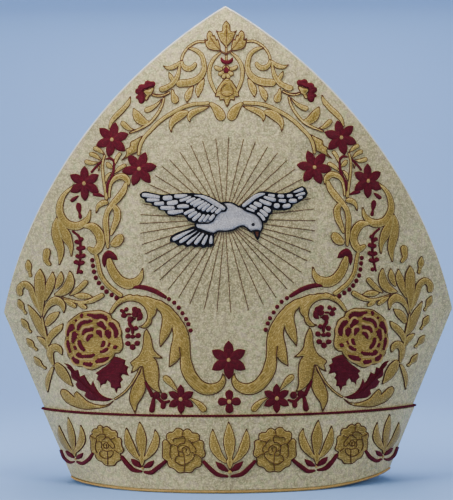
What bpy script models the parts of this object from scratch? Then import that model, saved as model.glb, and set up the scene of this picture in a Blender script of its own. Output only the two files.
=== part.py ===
"""Bishop mitre: two stiff horn panels over a head band, with a soft gusset between the horns.

Metres, +Z up.  The origin is the middle of the head opening, on the surface that the rim
stands on.  The front faces -Y, and +X is to the right of someone who looks at the front.
Each horn panel is a wall on a round section that opens out upwards, cut to a pointed arch.
"""
import math

import bmesh
import bpy
from mathutils import Vector
from mathutils.geometry import delaunay_2d_cdt, intersect_point_line

MM = 0.001

# Driving dimensions of the cloth form
HEIGHT = 0.3037                # rim to the tip of a horn
RIM_HALF_WIDTH = 0.1008
RIM_HALF_DEPTH = 0.0815
TIP_HALF_DEPTH = 0.0485
CORNER_HEIGHT = 0.1107         # the widest place, where the horns part
CORNER_HALF_WIDTH = 0.1470
EDGE_BULGE = 0.02295           # how far a horn's edge bows out of its chord
RIM_LIFT_LEFT = 0.0015         # the rim rises a little towards the side seams
RIM_LIFT_RIGHT = 0.0055
LIFT_START = 0.4               # share of the half width where the rise begins
LIFT_POWER = 1.3
BAND_HEIGHT = 0.0465
PANEL_FOOT = 0.0
BAND_FOOT = 0.0024

# Wall thicknesses and trim
PANEL_WALL = 0.0026
BAND_WALL = 0.0012
GUSSET_WALL = 0.0012
LAPPET_WALL = 0.0018
GAP = 0.0003
CORD_RADIUS = 0.0011
PIPING_RADIUS = 0.0009
CORD_HEIGHT = BAND_HEIGHT + GAP + CORD_RADIUS
PIPING_START = CORNER_HEIGHT + 0.004
PIPING_LAST = 0.3002           # the last height before the piping turns over the tip

# The gusset's valley between the horns
VALLEY_CENTRE = 0.150
VALLEY_END = 0.1122
VALLEY_REACH = 0.141
VALLEY_POWER = 2.4
GUSSET_END_WIDTH = 0.0040
GUSSET_DROP = 0.0006
GUSSET_CLEAR = 0.0009          # kept between the gusset and each horn's inner face
GUSSET_LEAST = 0.002           # the least sag of the cloth, at the tips and ends
GUSSET_ROWS = 12

# Two lappets, sewn on the back of the band, lying back on the surface
LAPPET_SIDE = 0.032
LAPPET_TOP = 0.027
LAPPET_LENGTH = 0.330
LAPPET_WIDTH_TOP = 0.046
LAPPET_WIDTH_END = 0.056
LAPPET_BEND = 0.0115
LAPPET_HEADING_END = math.radians(7.0)
LAPPET_STEPS = 18
LAPPET_COLUMNS = 4

# Raised embroidery
FIGURE_WALL = 0.0010
FIGURE_GAP = 0.00045
FIGURE_CUT = 0.012             # large figures bend with the panel at this spacing
INSIDE_ONLY = 1                # keep the triangles inside the outline
EPSILON = 1e-7

EDGE_STEP = 0.0005             # the rise over which an edge's direction is taken

COLUMNS = 20
PANEL_ROWS = [0.0155, 0.031, BAND_HEIGHT, 0.063, 0.080, 0.098, CORNER_HEIGHT,
              0.134, 0.154, 0.174, 0.194, 0.214, 0.234, 0.252, 0.268, 0.282, 0.294]
BAND_ROWS = [0.0155, 0.031, BAND_HEIGHT]

MATERIALS = {
    # name: (red, green, blue), roughness, metallic
    "cream_damask": ((0.40, 0.35, 0.25), 0.55, 0.15),
    "gold_satin": ((0.26, 0.17, 0.06), 0.42, 0.35),
    "burgundy_satin": ((0.095, 0.008, 0.022), 0.50, 0.0),
    "silver_satin": ((0.38, 0.37, 0.39), 0.42, 0.10),
    "gold_piping": ((0.45, 0.28, 0.10), 0.45, 0.25),
    "gusset_cloth": ((0.38, 0.34, 0.26), 0.70, 0.0),
}


# ---------------------------------------------------------------- the form of the panels

def side_half_width(height):
    """Half width of the side seams' line, which runs on straight above the corner."""
    slope = (CORNER_HALF_WIDTH - RIM_HALF_WIDTH) / CORNER_HEIGHT
    return RIM_HALF_WIDTH + slope * height


def section(height):
    """Centre y and radius of the front panel's outer face at a height."""
    width = side_half_width(height)
    depth = RIM_HALF_DEPTH + (TIP_HALF_DEPTH - RIM_HALF_DEPTH) * height / HEIGHT
    radius = (width * width + depth * depth) / (2 * depth)
    return radius - depth, radius


def horn_half_width(height):
    """Half width of the pointed arch that cuts the panel above the corner."""
    rise = HEIGHT - CORNER_HEIGHT
    chord = math.hypot(CORNER_HALF_WIDTH, rise)
    arc = (chord * chord / 4 + EDGE_BULGE * EDGE_BULGE) / (2 * EDGE_BULGE)
    inwards = arc - EDGE_BULGE
    centre_x = CORNER_HALF_WIDTH / 2 - inwards * rise / chord
    centre_z = (CORNER_HEIGHT + HEIGHT) / 2 - inwards * CORNER_HALF_WIDTH / chord
    return max(centre_x + math.sqrt(arc * arc - (height - centre_z) ** 2), 0.0)


def edge_angle(height, proud):
    """Angle on the section where a wall standing `proud` of the panel's outer face ends."""
    centre, radius = section(height)
    angle = math.acos((centre + GAP / 2) / (radius + proud))
    if height > CORNER_HEIGHT:
        angle = min(angle, math.asin(min(horn_half_width(height) / radius, 1.0)))
    return angle


def on_section(angle, height, proud):
    """A point of the front, from its angle on the section."""
    centre, radius = section(height)
    reach = radius + proud
    return Vector((reach * math.sin(angle), centre - reach * math.cos(angle), height))


def on_panel(along, height, proud):
    """A point of the front, from its distance along the cloth from the centre line."""
    return on_section(along / section(height)[1], height, proud)


def at_share(share, height, proud):
    """A point of the front, from its share of the way from the centre line to the edge."""
    return on_section(share * edge_angle(height, proud), height, proud)


def rim_lift(share):
    lift = RIM_LIFT_LEFT if share < 0 else RIM_LIFT_RIGHT
    return lift * max((abs(share) - LIFT_START) / (1 - LIFT_START), 0.0) ** LIFT_POWER


def front_grid(foot, rows, proud):
    """Rows of points over the front, from a foot that follows the rim."""
    shares = [2 * column / COLUMNS - 1 for column in range(COLUMNS + 1)]
    grid = [[at_share(share, foot + rim_lift(share), proud) for share in shares]]
    for height in rows:
        grid.append([at_share(share, height, proud) for share in shares])
    return grid


def turned_back(point):
    return Vector((point.x, -point.y, point.z))


# ---------------------------------------------------------------- making objects

def material(name):
    if name in bpy.data.materials:
        return bpy.data.materials[name]
    colour, roughness, metallic = MATERIALS[name]
    made = bpy.data.materials.new(name)
    made.use_nodes = True
    shader = made.node_tree.nodes["Principled BSDF"]
    shader.inputs["Base Color"].default_value = (*colour, 1.0)
    shader.inputs["Roughness"].default_value = roughness
    shader.inputs["Metallic"].default_value = metallic
    return made


def add_object(name, mesh_builder, finish, smooth=True):
    bmesh.ops.recalc_face_normals(mesh_builder, faces=mesh_builder.faces)
    mesh = bpy.data.meshes.new(name)
    mesh_builder.to_mesh(mesh)
    mesh_builder.free()
    if smooth:
        mesh.shade_smooth()
        mesh.set_sharp_from_angle(angle=math.radians(40))
    made = bpy.data.objects.new(name, mesh)
    made.data.materials.append(material(finish))
    bpy.context.collection.objects.link(made)
    return made


def add_skin(builder, grid):
    """Faces over rows of points; a row of one point is a tip. Returns the border in order."""
    rows = [[builder.verts.new(point) for point in row] for row in grid]
    for low, high in zip(rows, rows[1:]):
        for index in range(len(low) - 1):
            if len(high) == 1:
                builder.faces.new((low[index], low[index + 1], high[0]))
            else:
                builder.faces.new((low[index], low[index + 1], high[index + 1], high[index]))
    right = [row[-1] for row in rows[1:]]
    left = [row[0] for row in rows[1:-1]] if len(rows[-1]) == 1 else [row[0] for row in rows[1:]]
    top = rows[-1][1:-1] if len(rows[-1]) > 1 else []
    return rows[0] + right + top[::-1] + left[::-1]


def add_shell(name, outer, inner, finish):
    """A closed wall between two grids that match point for point."""
    builder = bmesh.new()
    borders = [add_skin(builder, grid) for grid in (outer, inner)]
    count = len(borders[0])
    for index in range(count):
        follow = (index + 1) % count
        builder.faces.new((borders[0][index], borders[0][follow],
                           borders[1][follow], borders[1][index]))
    return add_object(name, builder, finish)


def add_tube(name, path, radius, finish, closed):
    """A cord along a path of points."""
    curve = bpy.data.curves.new(name, "CURVE")
    curve.dimensions = "3D"
    curve.bevel_depth = radius
    curve.bevel_resolution = 1
    curve.use_fill_caps = True
    spline = curve.splines.new("POLY")
    spline.points.add(len(path) - 1)
    for point, place in zip(spline.points, path):
        point.co = (*place, 1.0)
    spline.use_cyclic_u = closed
    made = bpy.data.objects.new(name, curve)
    made.data.materials.append(material(finish))
    bpy.context.collection.objects.link(made)
    return made


# ---------------------------------------------------------------- cloth walls

def panel_grids():
    """The panel's outer and inner faces, up to the horn's tip."""
    grids = []
    for proud in (0.0, -PANEL_WALL):
        grid = front_grid(PANEL_FOOT, PANEL_ROWS, proud)
        grid.append([on_section(0.0, HEIGHT, proud)])
        grids.append(grid)
    return grids


def make_panels():
    outer, inner = panel_grids()
    add_shell("front_panel", outer, inner, "cream_damask")
    flip = [[[turned_back(point) for point in row] for row in grid] for grid in (outer, inner)]
    add_shell("back_panel", flip[0], flip[1], "cream_damask")


def make_bands():
    outer, inner = [front_grid(BAND_FOOT, BAND_ROWS, proud) for proud in (GAP + BAND_WALL, GAP)]
    add_shell("front_band", outer, inner, "cream_damask")
    flip = [[[turned_back(point) for point in row] for row in grid] for grid in (outer, inner)]
    add_shell("back_band", flip[0], flip[1], "cream_damask")


def ring_path(height, proud, lifted):
    """Once round the mitre, clear of the panels, with a point on each side seam."""
    front = []
    for column in range(COLUMNS + 1):
        share = 2 * column / COLUMNS - 1
        rise = rim_lift(share) if lifted else 0.0
        front.append(at_share(share, height + rise, proud))
    front[0].y = front[-1].y = 0.0
    return front + [turned_back(point) for point in front[-2:0:-1]]


def make_rings():
    cord = ring_path(CORD_HEIGHT, 2 * GAP + CORD_RADIUS, False)
    add_tube("band_cord", cord, CORD_RADIUS, "burgundy_satin", True)
    piping_height = PIPING_RADIUS + GAP
    piping = ring_path(piping_height, 2 * GAP + PIPING_RADIUS, True)
    add_tube("rim_piping", piping, PIPING_RADIUS, "gold_piping", True)


def horn_edge_path():
    """The right half of a horn's edge, upwards, just outside the panel's wall."""
    heights = [height for height in PANEL_ROWS if height > PIPING_START]
    heights = [PIPING_START] + heights + [PIPING_LAST]
    middle = -PANEL_WALL / 2
    clear = PIPING_RADIUS + GAP
    path = []
    for height in heights:
        angle = edge_angle(height, 0.0)
        here = on_section(angle, height, middle)
        above = height + EDGE_STEP
        onwards = on_section(edge_angle(above, 0.0), above, middle)
        along = (onwards - here).normalized()
        face = Vector((math.sin(angle), -math.cos(angle), 0.0))
        outwards = along.cross(face).normalized()
        if outwards.x < 0:
            outwards = -outwards
        place = here + outwards * clear
        place.y = min(place.y, -clear)
        path.append(place)
    return path


def make_edge_pipings():
    right = horn_edge_path()
    left = [Vector((-point.x, point.y, point.z)) for point in right]
    tip = on_section(0.0, HEIGHT, -PANEL_WALL / 2) + Vector((0, 0, PIPING_RADIUS + GAP))
    front = left + [tip] + right[::-1]
    add_tube("front_edge_piping", front, PIPING_RADIUS, "gold_piping", False)
    back = [turned_back(point) for point in front]
    add_tube("back_edge_piping", back, PIPING_RADIUS, "gold_piping", False)


def valley_height(x):
    return VALLEY_CENTRE - (VALLEY_CENTRE - VALLEY_END) * (x / VALLEY_REACH) ** 2


def gusset_section(edge):
    """Lower and upper lines, front to back, of the cloth that hangs between two edge points."""
    half = abs(edge.y) - GUSSET_CLEAR
    top = edge.z - GUSSET_DROP
    floor = min(valley_height(edge.x), top - GUSSET_LEAST)
    lower, upper = [], []
    for row in range(GUSSET_ROWS + 1):
        share = 2 * row / GUSSET_ROWS - 1
        size = abs(share)
        slope = VALLEY_POWER * (top - floor) * size ** (VALLEY_POWER - 1) / half
        normal = Vector((0.0, -math.copysign(slope, share), 1.0)).normalized()
        if row == GUSSET_ROWS // 2:
            normal = Vector((0.0, 0.0, 1.0))
        place = Vector((edge.x, half * share, floor + (top - floor) * size ** VALLEY_POWER))
        lower.append(place)
        upper.append(place + normal * GUSSET_WALL)
    return lower, upper


def make_gusset():
    """A soft saddle sewn inside the edges of both horns."""
    inner = panel_grids()[1]
    edges = [row[-1] for row in inner[:-1] if row[-1].z > PIPING_START]
    edges = [edge for edge in edges if abs(edge.y) > GUSSET_END_WIDTH]
    tip = inner[-1][0] + Vector((0.0, 0.0, -GUSSET_LEAST))
    left = [Vector((-edge.x, edge.y, edge.z)) for edge in edges]
    stations = left + [tip] + edges[::-1]
    sections = [gusset_section(edge) for edge in stations]
    lower = [[line[0][row] for line in sections] for row in range(GUSSET_ROWS + 1)]
    upper = [[line[1][row] for line in sections] for row in range(GUSSET_ROWS + 1)]
    add_shell("crown_gusset", upper, lower, "gusset_cloth")


def lappet_profile():
    """Steps down the band and back along the surface: distance from the band, height."""
    rest = LAPPET_WALL / 2
    bend_top = rest + LAPPET_BEND
    steps = [(0.0, LAPPET_TOP), (0.0, (LAPPET_TOP + bend_top) / 2), (0.0, bend_top)]
    for index in range(1, 6):
        turn = math.radians(18 * index)
        steps.append((LAPPET_BEND * (1 - math.cos(turn)), bend_top - LAPPET_BEND * math.sin(turn)))
    used = LAPPET_TOP - bend_top + LAPPET_BEND * math.pi / 2
    flat = LAPPET_LENGTH - used
    count = LAPPET_STEPS - len(steps)
    for index in range(1, count + 1):
        steps.append((LAPPET_BEND + flat * index / count, rest))
    return steps


def lappet_grids(side):
    """Both faces of one lappet, its width across and its length back over the surface."""
    proud = 2 * GAP + BAND_WALL + LAPPET_WALL / 2
    steps = lappet_profile()
    radius = section(LAPPET_TOP)[1]
    start_angle = math.asin(LAPPET_SIDE / radius)
    place = turned_back(on_section(start_angle, LAPPET_TOP, proud))
    faces = ([], [])
    last = 0.0
    for index, (away, height) in enumerate(steps):
        share = min(away / (LAPPET_LENGTH * 0.6), 1.0)
        heading = start_angle + (LAPPET_HEADING_END - start_angle) * share
        ahead = Vector((math.sin(heading), math.cos(heading), 0.0))
        across = Vector((ahead.y, -ahead.x, 0.0))
        on_wall = turned_back(on_section(start_angle, min(height, LAPPET_TOP), proud))
        if away == 0.0:
            place = on_wall
        else:
            place = place + ahead * (away - last)
        last = away
        before = steps[max(index - 1, 0)]
        after = steps[min(index + 1, len(steps) - 1)]
        run = Vector((after[0] - before[0], 0.0, after[1] - before[1])).normalized()
        normal = ahead * -run.z + Vector((0.0, 0.0, run.x))
        width = LAPPET_WIDTH_TOP + (LAPPET_WIDTH_END - LAPPET_WIDTH_TOP) * index / len(steps)
        hug = max(1.0 - away / LAPPET_BEND, 0.0)
        rows = ([], [])
        for column in range(LAPPET_COLUMNS + 1):
            offset = width * (column / LAPPET_COLUMNS - 0.5)
            sag = offset * offset / (2 * radius) * hug
            middle = place + across * offset - ahead * sag
            middle.z = height
            rows[0].append(middle + normal * LAPPET_WALL / 2)
            rows[1].append(middle - normal * LAPPET_WALL / 2)
        for face, row in zip(faces, rows):
            face.append([Vector((side * point.x, point.y, point.z)) for point in row])
    return faces


def make_lappets():
    for name, side in (("lappet_left", -1), ("lappet_right", 1)):
        upper, lower = lappet_grids(side)
        add_shell(name, upper, lower, "cream_damask")


# ---------------------------------------------------------------- raised embroidery

def evenly_cut(outline):
    """The outline with its long sides divided."""
    points = []
    for here, there in zip(outline, outline[1:] + outline[:1]):
        parts = max(math.ceil((there - here).length / FIGURE_CUT), 1)
        points += [here.lerp(there, part / parts) for part in range(parts)]
    return points


def off_outline(point, outline):
    """Distance of a point from the nearest side of an outline."""
    nearest = math.inf
    for here, there in zip(outline, outline[1:] + outline[:1]):
        share = intersect_point_line(point, here, there)[1]
        foot = here.lerp(there, min(max(share, 0.0), 1.0))
        nearest = min(nearest, (point - foot).length)
    return nearest


def filling(outline):
    """Even points over the figure, kept clear of its outline, for it to bend at."""
    lows = [math.floor(min(point[axis] for point in outline) / FIGURE_CUT) for axis in (0, 1)]
    highs = [math.ceil(max(point[axis] for point in outline) / FIGURE_CUT) for axis in (0, 1)]
    points = []
    for row in range(lows[1], highs[1] + 1):
        for column in range(lows[0], highs[0] + 1):
            point = Vector((column + row % 2 / 2, row)) * FIGURE_CUT
            if off_outline(point, outline) > FIGURE_CUT / 3:
                points.append(point)
    return points


def add_figure(name, outline, finish, on_band=False):
    """A flat figure, given by its outline along and up the cloth, laid on the panel."""
    outline = evenly_cut([Vector(point) for point in outline])
    flat = delaunay_2d_cdt(outline + filling(outline), [], [range(len(outline))],
                           INSIDE_ONLY, EPSILON)
    places, triangles = flat[0], flat[2]
    base = FIGURE_GAP + (GAP + BAND_WALL if on_band else 0.0)
    used = sorted({corner for triangle in triangles for corner in triangle})
    builder = bmesh.new()
    skins = []
    for proud in (base + FIGURE_WALL, base):
        skins.append({corner: builder.verts.new(on_panel(*places[corner], proud))
                      for corner in used})
    sides = set()
    for triangle in triangles:
        for skin in skins:
            builder.faces.new([skin[corner] for corner in triangle])
        for side in zip(triangle, triangle[1:] + triangle[:1]):
            if side[::-1] in sides:
                sides.remove(side[::-1])
            else:
                sides.add(side)
    for here, there in sorted(sides):
        builder.faces.new((skins[0][here], skins[0][there], skins[1][there]))
        builder.faces.new((skins[0][here], skins[1][there], skins[1][here]))
    return add_object(name, builder, finish, smooth=False)


def mirrored(outline):
    return [(-along, height) for along, height in outline]


def petal_ring(centre, radius, petals, waist, start=90.0, steps=6):
    """The outline of an open flower: round petals about a centre."""
    outline = []
    for index in range(petals * steps):
        turn = 2 * math.pi * index / (petals * steps)
        lobe = abs(math.cos(petals * turn / 2)) ** 0.7
        reach = radius * (waist + (1 - waist) * lobe)
        place = turn + math.radians(start)
        outline.append((centre[0] + reach * math.cos(place), centre[1] + reach * math.sin(place)))
    return outline


def stroke(spine):
    """The outline of a tapered stroke from rows of along, height and width, in millimetres."""
    rows = [Vector((along, height)) for along, height, _ in spine]
    left, right = [], []
    for index, row in enumerate(rows):
        before = rows[max(index - 1, 0)]
        after = rows[min(index + 1, len(rows) - 1)]
        run = (after - before).normalized()
        side = Vector((-run.y, run.x)) * spine[index][2] / 2
        left.append(row + side)
        right.append(row - side)
    return [(point.x * MM, point.y * MM) for point in left + right[::-1]]


FLOWERS = [
    # name, along mm, height mm, radius mm, petals
    ("flower_left_1", -73.5, 222.0, 10.5, 6),
    ("flower_left_2", -55.5, 202.0, 10.8, 6),
    ("flower_left_3", -91.5, 194.5, 10.8, 6),
    ("flower_right_1", 73.5, 222.0, 10.5, 6),
    ("flower_right_2", 55.5, 202.0, 10.8, 6),
    ("flower_right_3", 91.5, 194.5, 10.8, 6),
    ("flower_centre", 0.0, 82.0, 10.8, 6),
    ("flower_foot", 0.0, 56.5, 7.0, 4),
    ("flower_low_left", -30.5, 58.3, 8.4, 6),
    ("flower_low_right", 30.5, 58.3, 8.4, 6),
]

ROSES = [
    # name, along mm, height mm, radius mm, on the band
    ("rose_left", -88.5, 95.0, 18.6, False),
    ("rose_right", 88.5, 95.0, 18.6, False),
    ("band_rose_1", -84.5, 27.5, 13.2, True),
    ("band_rose_2", -28.3, 27.2, 13.2, True),
    ("band_rose_3", 28.3, 27.2, 13.2, True),
    ("band_rose_4", 84.5, 27.5, 13.2, True),
]

LOTUS_ALONG = [-114.0, -56.0, 0.0, 56.0, 114.0]
LOTUS_OUTLINE = [
    # along mm from the stem, height mm: the right half, from the knot up to the middle tip
    (0.8, 16.0), (8.0, 21.5), (11.3, 29.0), (10.2, 38.5), (5.6, 31.0), (3.9, 26.0),
    (4.3, 33.0), (0.0, 43.6),
]

DOVE_OUTLINE = [
    # along mm, height mm: from the left wing's tip, over the back, head and tail
    (-54.3, 186.6), (-32.0, 186.4), (-17.8, 186.0), (-7.3, 181.0), (-0.7, 177.0),
    (9.3, 178.0), (17.4, 185.1), (24.5, 186.6), (34.1, 184.2), (41.2, 187.0), (47.7, 190.2),
    (50.3, 186.0), (40.3, 177.2), (27.9, 175.0), (24.2, 168.6), (18.8, 158.0), (14.6, 162.4),
    (9.2, 165.0), (-0.5, 162.3), (-7.5, 162.2), (-9.6, 152.6), (-22.2, 153.4), (-36.0, 157.2),
    (-20.6, 164.4), (-22.4, 168.6), (-32.3, 173.6), (-43.6, 179.0),
]

SCROLL_SPINE = [
    # along mm, height mm, width mm
    (-69.5, 118.0, 2.0), (-58.0, 122.0, 5.0), (-43.0, 118.0, 8.5), (-31.5, 108.0, 11.0),
    (-25.5, 97.5, 11.5), (-23.8, 85.0, 8.0), (-19.5, 74.0, 8.0), (-12.0, 67.3, 8.5),
    (-5.5, 69.0, 6.0), (-4.0, 73.5, 1.6),
]
ARCH_SPINE = [
    (-3.4, 236.5, 6.0), (-8.0, 242.0, 5.0), (-17.0, 242.8, 4.4), (-29.0, 240.2, 4.0),
    (-41.5, 233.5, 3.6), (-51.0, 224.0, 3.2), (-54.6, 215.0, 2.0),
]
CRESCENT_SPINE = [
    (-104.5, 188.0, 1.6), (-108.8, 180.0, 5.0), (-106.0, 170.0, 6.0), (-97.0, 166.0, 6.0),
    (-90.0, 170.4, 4.6), (-88.4, 177.2, 1.4),
]
FINIAL_OUTLINE = [
    # along mm, height mm: the right half of the leaf, from its stem up to its tip
    (1.2, 272.0), (2.2, 278.0), (9.0, 281.0), (10.4, 289.0), (5.8, 285.6), (3.8, 284.0),
    (4.0, 290.0), (0.0, 295.4),
]


def both_halves(half, along=0.0):
    """A closed outline from its right half, listed upwards with the top point on the axis."""
    right = [((along + x) * MM, z * MM) for x, z in half]
    left = [((along - x) * MM, z * MM) for x, z in half[:-1]]
    return right + left[::-1]


def make_flowers():
    for name, along, height, radius, petals in FLOWERS:
        outline = petal_ring((along * MM, height * MM), radius * MM, petals, 0.42)
        add_figure(name, outline, "burgundy_satin")


def make_roses():
    for name, along, height, radius, on_band in ROSES:
        outline = petal_ring((along * MM, height * MM), radius * MM, 9, 0.88, steps=4)
        add_figure(name, outline, "gold_satin", on_band)


def make_lotuses():
    for number, along in enumerate(LOTUS_ALONG, 1):
        outline = both_halves(LOTUS_OUTLINE, along)
        add_figure(f"band_lotus_{number}", outline, "gold_satin", True)


def make_dove():
    outline = [(along * MM, height * MM) for along, height in DOVE_OUTLINE]
    add_figure("dove", outline, "silver_satin")


def make_scrolls():
    for name, spine in (("scroll", SCROLL_SPINE), ("arch_scroll", ARCH_SPINE),
                        ("crescent_scroll", CRESCENT_SPINE)):
        outline = stroke(spine)
        add_figure(f"{name}_left", outline, "gold_satin")
        add_figure(f"{name}_right", mirrored(outline), "gold_satin")


def make_finial():
    add_figure("finial_leaf", both_halves(FINIAL_OUTLINE), "gold_satin")


def main():
    for old in list(bpy.data.objects):
        bpy.data.objects.remove(old, do_unlink=True)
    make_panels()
    make_bands()
    make_rings()
    make_edge_pipings()
    make_gusset()
    make_lappets()
    make_flowers()
    make_roses()
    make_lotuses()
    make_dove()
    make_scrolls()
    make_finial()


main()
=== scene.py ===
"""A bishop's mitre in cream damask, embroidered in gold, burgundy and silver thread.

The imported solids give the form.  Each one is dressed here in cloth, cord or stitches that lie
in the same place.  All stitched work is drawn flat on the front panel, as distance along the
cloth, height, and rise over it, and is then laid on the panel's curve.
"""
import math

import bpy
import numpy as np
from bpy.props import FloatProperty, FloatVectorProperty, PointerProperty
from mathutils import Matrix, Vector
from mathutils.geometry import delaunay_2d_cdt


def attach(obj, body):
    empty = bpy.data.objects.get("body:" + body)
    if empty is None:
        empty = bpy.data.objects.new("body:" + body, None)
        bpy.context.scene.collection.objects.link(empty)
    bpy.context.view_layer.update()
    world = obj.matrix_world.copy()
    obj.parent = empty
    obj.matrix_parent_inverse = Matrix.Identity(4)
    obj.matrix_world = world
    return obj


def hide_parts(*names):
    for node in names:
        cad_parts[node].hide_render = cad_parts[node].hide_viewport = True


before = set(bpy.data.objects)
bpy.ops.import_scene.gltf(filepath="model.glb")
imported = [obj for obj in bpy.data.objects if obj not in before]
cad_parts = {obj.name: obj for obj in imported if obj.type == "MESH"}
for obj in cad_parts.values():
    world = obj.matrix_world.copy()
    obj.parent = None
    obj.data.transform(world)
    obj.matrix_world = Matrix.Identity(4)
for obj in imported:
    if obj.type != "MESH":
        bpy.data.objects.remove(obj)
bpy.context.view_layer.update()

bl_info = {
    "name": "Embroidered bishop's mitre",
    "version": (1, 0, 0),
    "blender": (4, 5, 0),
    "location": "View3D > Sidebar > Mitre",
    "description": "Dresses the mitre's solids in damask, cords and raised embroidery",
    "category": "Object",
}


# ---------------------------------------------------------------- what a user may change

def length(label, note, default):
    return FloatProperty(name=label, description=note, default=default, unit="LENGTH",
                         subtype="DISTANCE", precision=5)


def colour(label, note, default):
    return FloatVectorProperty(name=label, description=note, default=default, size=3,
                               subtype="COLOR", min=0.0, max=1.0)


def power(label, note, default):
    return FloatProperty(name=label, description=note, default=default, unit="POWER")


class MitreForm(bpy.types.PropertyGroup):
    """The cut of the cloth form."""
    height: length("Height", "Rim to the tip of a horn", 0.3037)
    rim_half_width: length("Rim half width", "Half the width at the rim", 0.1008)
    rim_half_depth: length("Rim half depth", "Half the depth at the rim", 0.0815)
    tip_half_depth: length("Tip half depth", "Half the distance between the tips", 0.0485)
    corner_height: length("Corner height", "Height where the horns part", 0.1107)
    corner_half_width: length("Corner half width", "Half width where the horns part", 0.1470)
    edge_bulge: length("Edge bulge", "How far a horn's edge bows out of its chord", 0.02295)
    rim_lift_left: length("Left rim lift", "Rise of the rim at the left seam", 0.0015)
    rim_lift_right: length("Right rim lift", "Rise of the rim at the right seam", 0.0055)
    band_height: length("Band height", "Height of the head band", 0.0465)
    band_foot: length("Band foot", "Height of the band's lower edge", 0.0024)
    panel_wall: length("Panel wall", "Thickness of a stiffened panel", 0.0026)
    band_wall: length("Band wall", "Thickness of the band's cloth", 0.0012)
    gusset_wall: length("Gusset wall", "Thickness of the gusset's cloth", 0.0012)
    lappet_wall: length("Lappet wall", "Thickness of a lappet", 0.0018)
    gap: length("Gap", "Clearance between layers that are sewn together", 0.0003)
    cord_radius: length("Cord radius", "Radius of the burgundy cord", 0.0009)
    rim_radius: length("Rim piping radius", "Radius of the gold piping at the rim", 0.0009)
    edge_radius: length("Edge piping radius", "Radius of the piping on the horns", 0.00055)


class MitreStitches(bpy.types.PropertyGroup):
    """How high and how fine the stitched work is."""
    rise: length("Rise", "Height of the padded satin stitch", 0.00085)
    seat: length("Seat", "How deep the stitches sink into the cloth", 0.0004)
    outline: length("Outline", "Radius of the thread that edges the gold", 0.00041)
    dark_outline: length("Dark outline", "Radius of the thread that edges the dove", 0.0007)
    feather_line: length("Feather line", "Radius of the thread between the feathers", 0.00042)
    ray: length("Ray", "Radius of the thread of the rays", 0.00038)
    vein: length("Vein", "Radius of the fine thread that draws on the gold", 0.00028)
    strand: length("Strand", "Width of one thread of satin stitch", 0.00042)


class MitreColours(bpy.types.PropertyGroup):
    """Thread and cloth colours."""
    cream: colour("Cream damask", "Ground of the damask", (0.376, 0.312, 0.144))
    figure: colour("Damask figure", "Woven figure of the damask", (0.292, 0.240, 0.106))
    olive: colour("Olive shade", "Where the damask's ground leans to green", (0.335, 0.340, 0.150))
    blush: colour("Blush shade", "Where the damask's ground leans to pink", (0.420, 0.322, 0.200))
    gusset: colour("Gusset", "Soft cloth between the horns", (0.38, 0.325, 0.225))
    lining: colour("Lining", "Plain cloth inside", (0.44, 0.40, 0.32))
    gold: colour("Gold", "Gold thread", (0.275, 0.176, 0.029))
    # Gold highlight is a painted highlight: lighter gold just inside an edge of the padded work
    gold_highlight: colour("Gold rim", "Gold thread just inside an edge", (0.50, 0.375, 0.110))
    # Bright gold is the colour of the painted glints on the gold thread
    bright_gold: colour("Bright gold", "Gold thread where it glints", (0.66, 0.47, 0.16))
    burgundy: colour("Burgundy", "Burgundy thread", (0.082, 0.0040, 0.0105))
    silver: colour("Silver", "Silver thread", (0.365, 0.347, 0.350))
    dark: colour("Dark thread", "Thread that edges the feathers", (0.008, 0.008, 0.012))
    brown: colour("Brown thread", "Thread that edges the gold", (0.074, 0.023, 0.013))
    ray: colour("Ray thread", "Thread of the rays", (0.082, 0.036, 0.021))
    pale_gold: colour("Pale gold", "Knots in the flowers", (0.42, 0.27, 0.085))
    rim_gold: colour("Rim gold", "Gold piping at the rim", (0.50, 0.30, 0.085))
    # Edge cream is partly the piping's pale thread and partly a painted highlight along the horns'
    # edges
    edge_cream: colour("Edge cream", "Pale piping on the horns' edges", (0.80, 0.77, 0.67))


class MitreStudio(bpy.types.PropertyGroup):
    """Floor, light and camera."""
    floor: colour("Backdrop", "Plain pale floor that sweeps up behind", (0.29, 0.50, 0.96))
    top: power("Top light", "Power of the soft light over the tip", 1.35)
    front: power("Front light", "Power of the light behind the camera", 8.6)
    left: power("Left light", "Power of the light from the left", 12.5)
    right: power("Right light", "Power of the light from the right", 9.5)
    rear: power("Rear light", "Power of the light on the backdrop", 6.0)
    back: power("Back light", "Power of the light on the back", 5.0)
    sky: FloatProperty(name="Surround", description="Strength of the even surround", default=0.26)
    distance: length("Camera distance", "From the middle of the mitre", 1.4)
    camera_height: length("Camera height", "Height of the camera", 0.1504)


# ---------------------------------------------------------------- the form of the panels

LIFT_START = 0.4               # share of the half width where the rim begins to rise
LIFT_POWER = 1.3


def form():
    return bpy.context.scene.mitre_form


def threads():
    return bpy.context.scene.mitre_stitches


def section(height):
    """Centre y and radius of the front panel's outer face at a height."""
    cut = form()
    slope = (cut.corner_half_width - cut.rim_half_width) / cut.corner_height
    width = cut.rim_half_width + slope * height
    fall = (cut.tip_half_depth - cut.rim_half_depth) / cut.height
    depth = cut.rim_half_depth + fall * height
    radius = (width * width + depth * depth) / (2 * depth)
    return radius - depth, radius


def horn_half_width(height):
    """Half width of the pointed arch that cuts the panel above the corner."""
    cut = form()
    rise = cut.height - cut.corner_height
    chord = math.hypot(cut.corner_half_width, rise)
    arc = (chord * chord / 4 + cut.edge_bulge ** 2) / (2 * cut.edge_bulge)
    inwards = arc - cut.edge_bulge
    centre_x = cut.corner_half_width / 2 - inwards * rise / chord
    centre_z = (cut.corner_height + cut.height) / 2 - inwards * cut.corner_half_width / chord
    reach = np.sqrt(np.maximum(arc * arc - (height - centre_z) ** 2, 0.0))
    return np.maximum(centre_x + reach, 0.0)


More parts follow.
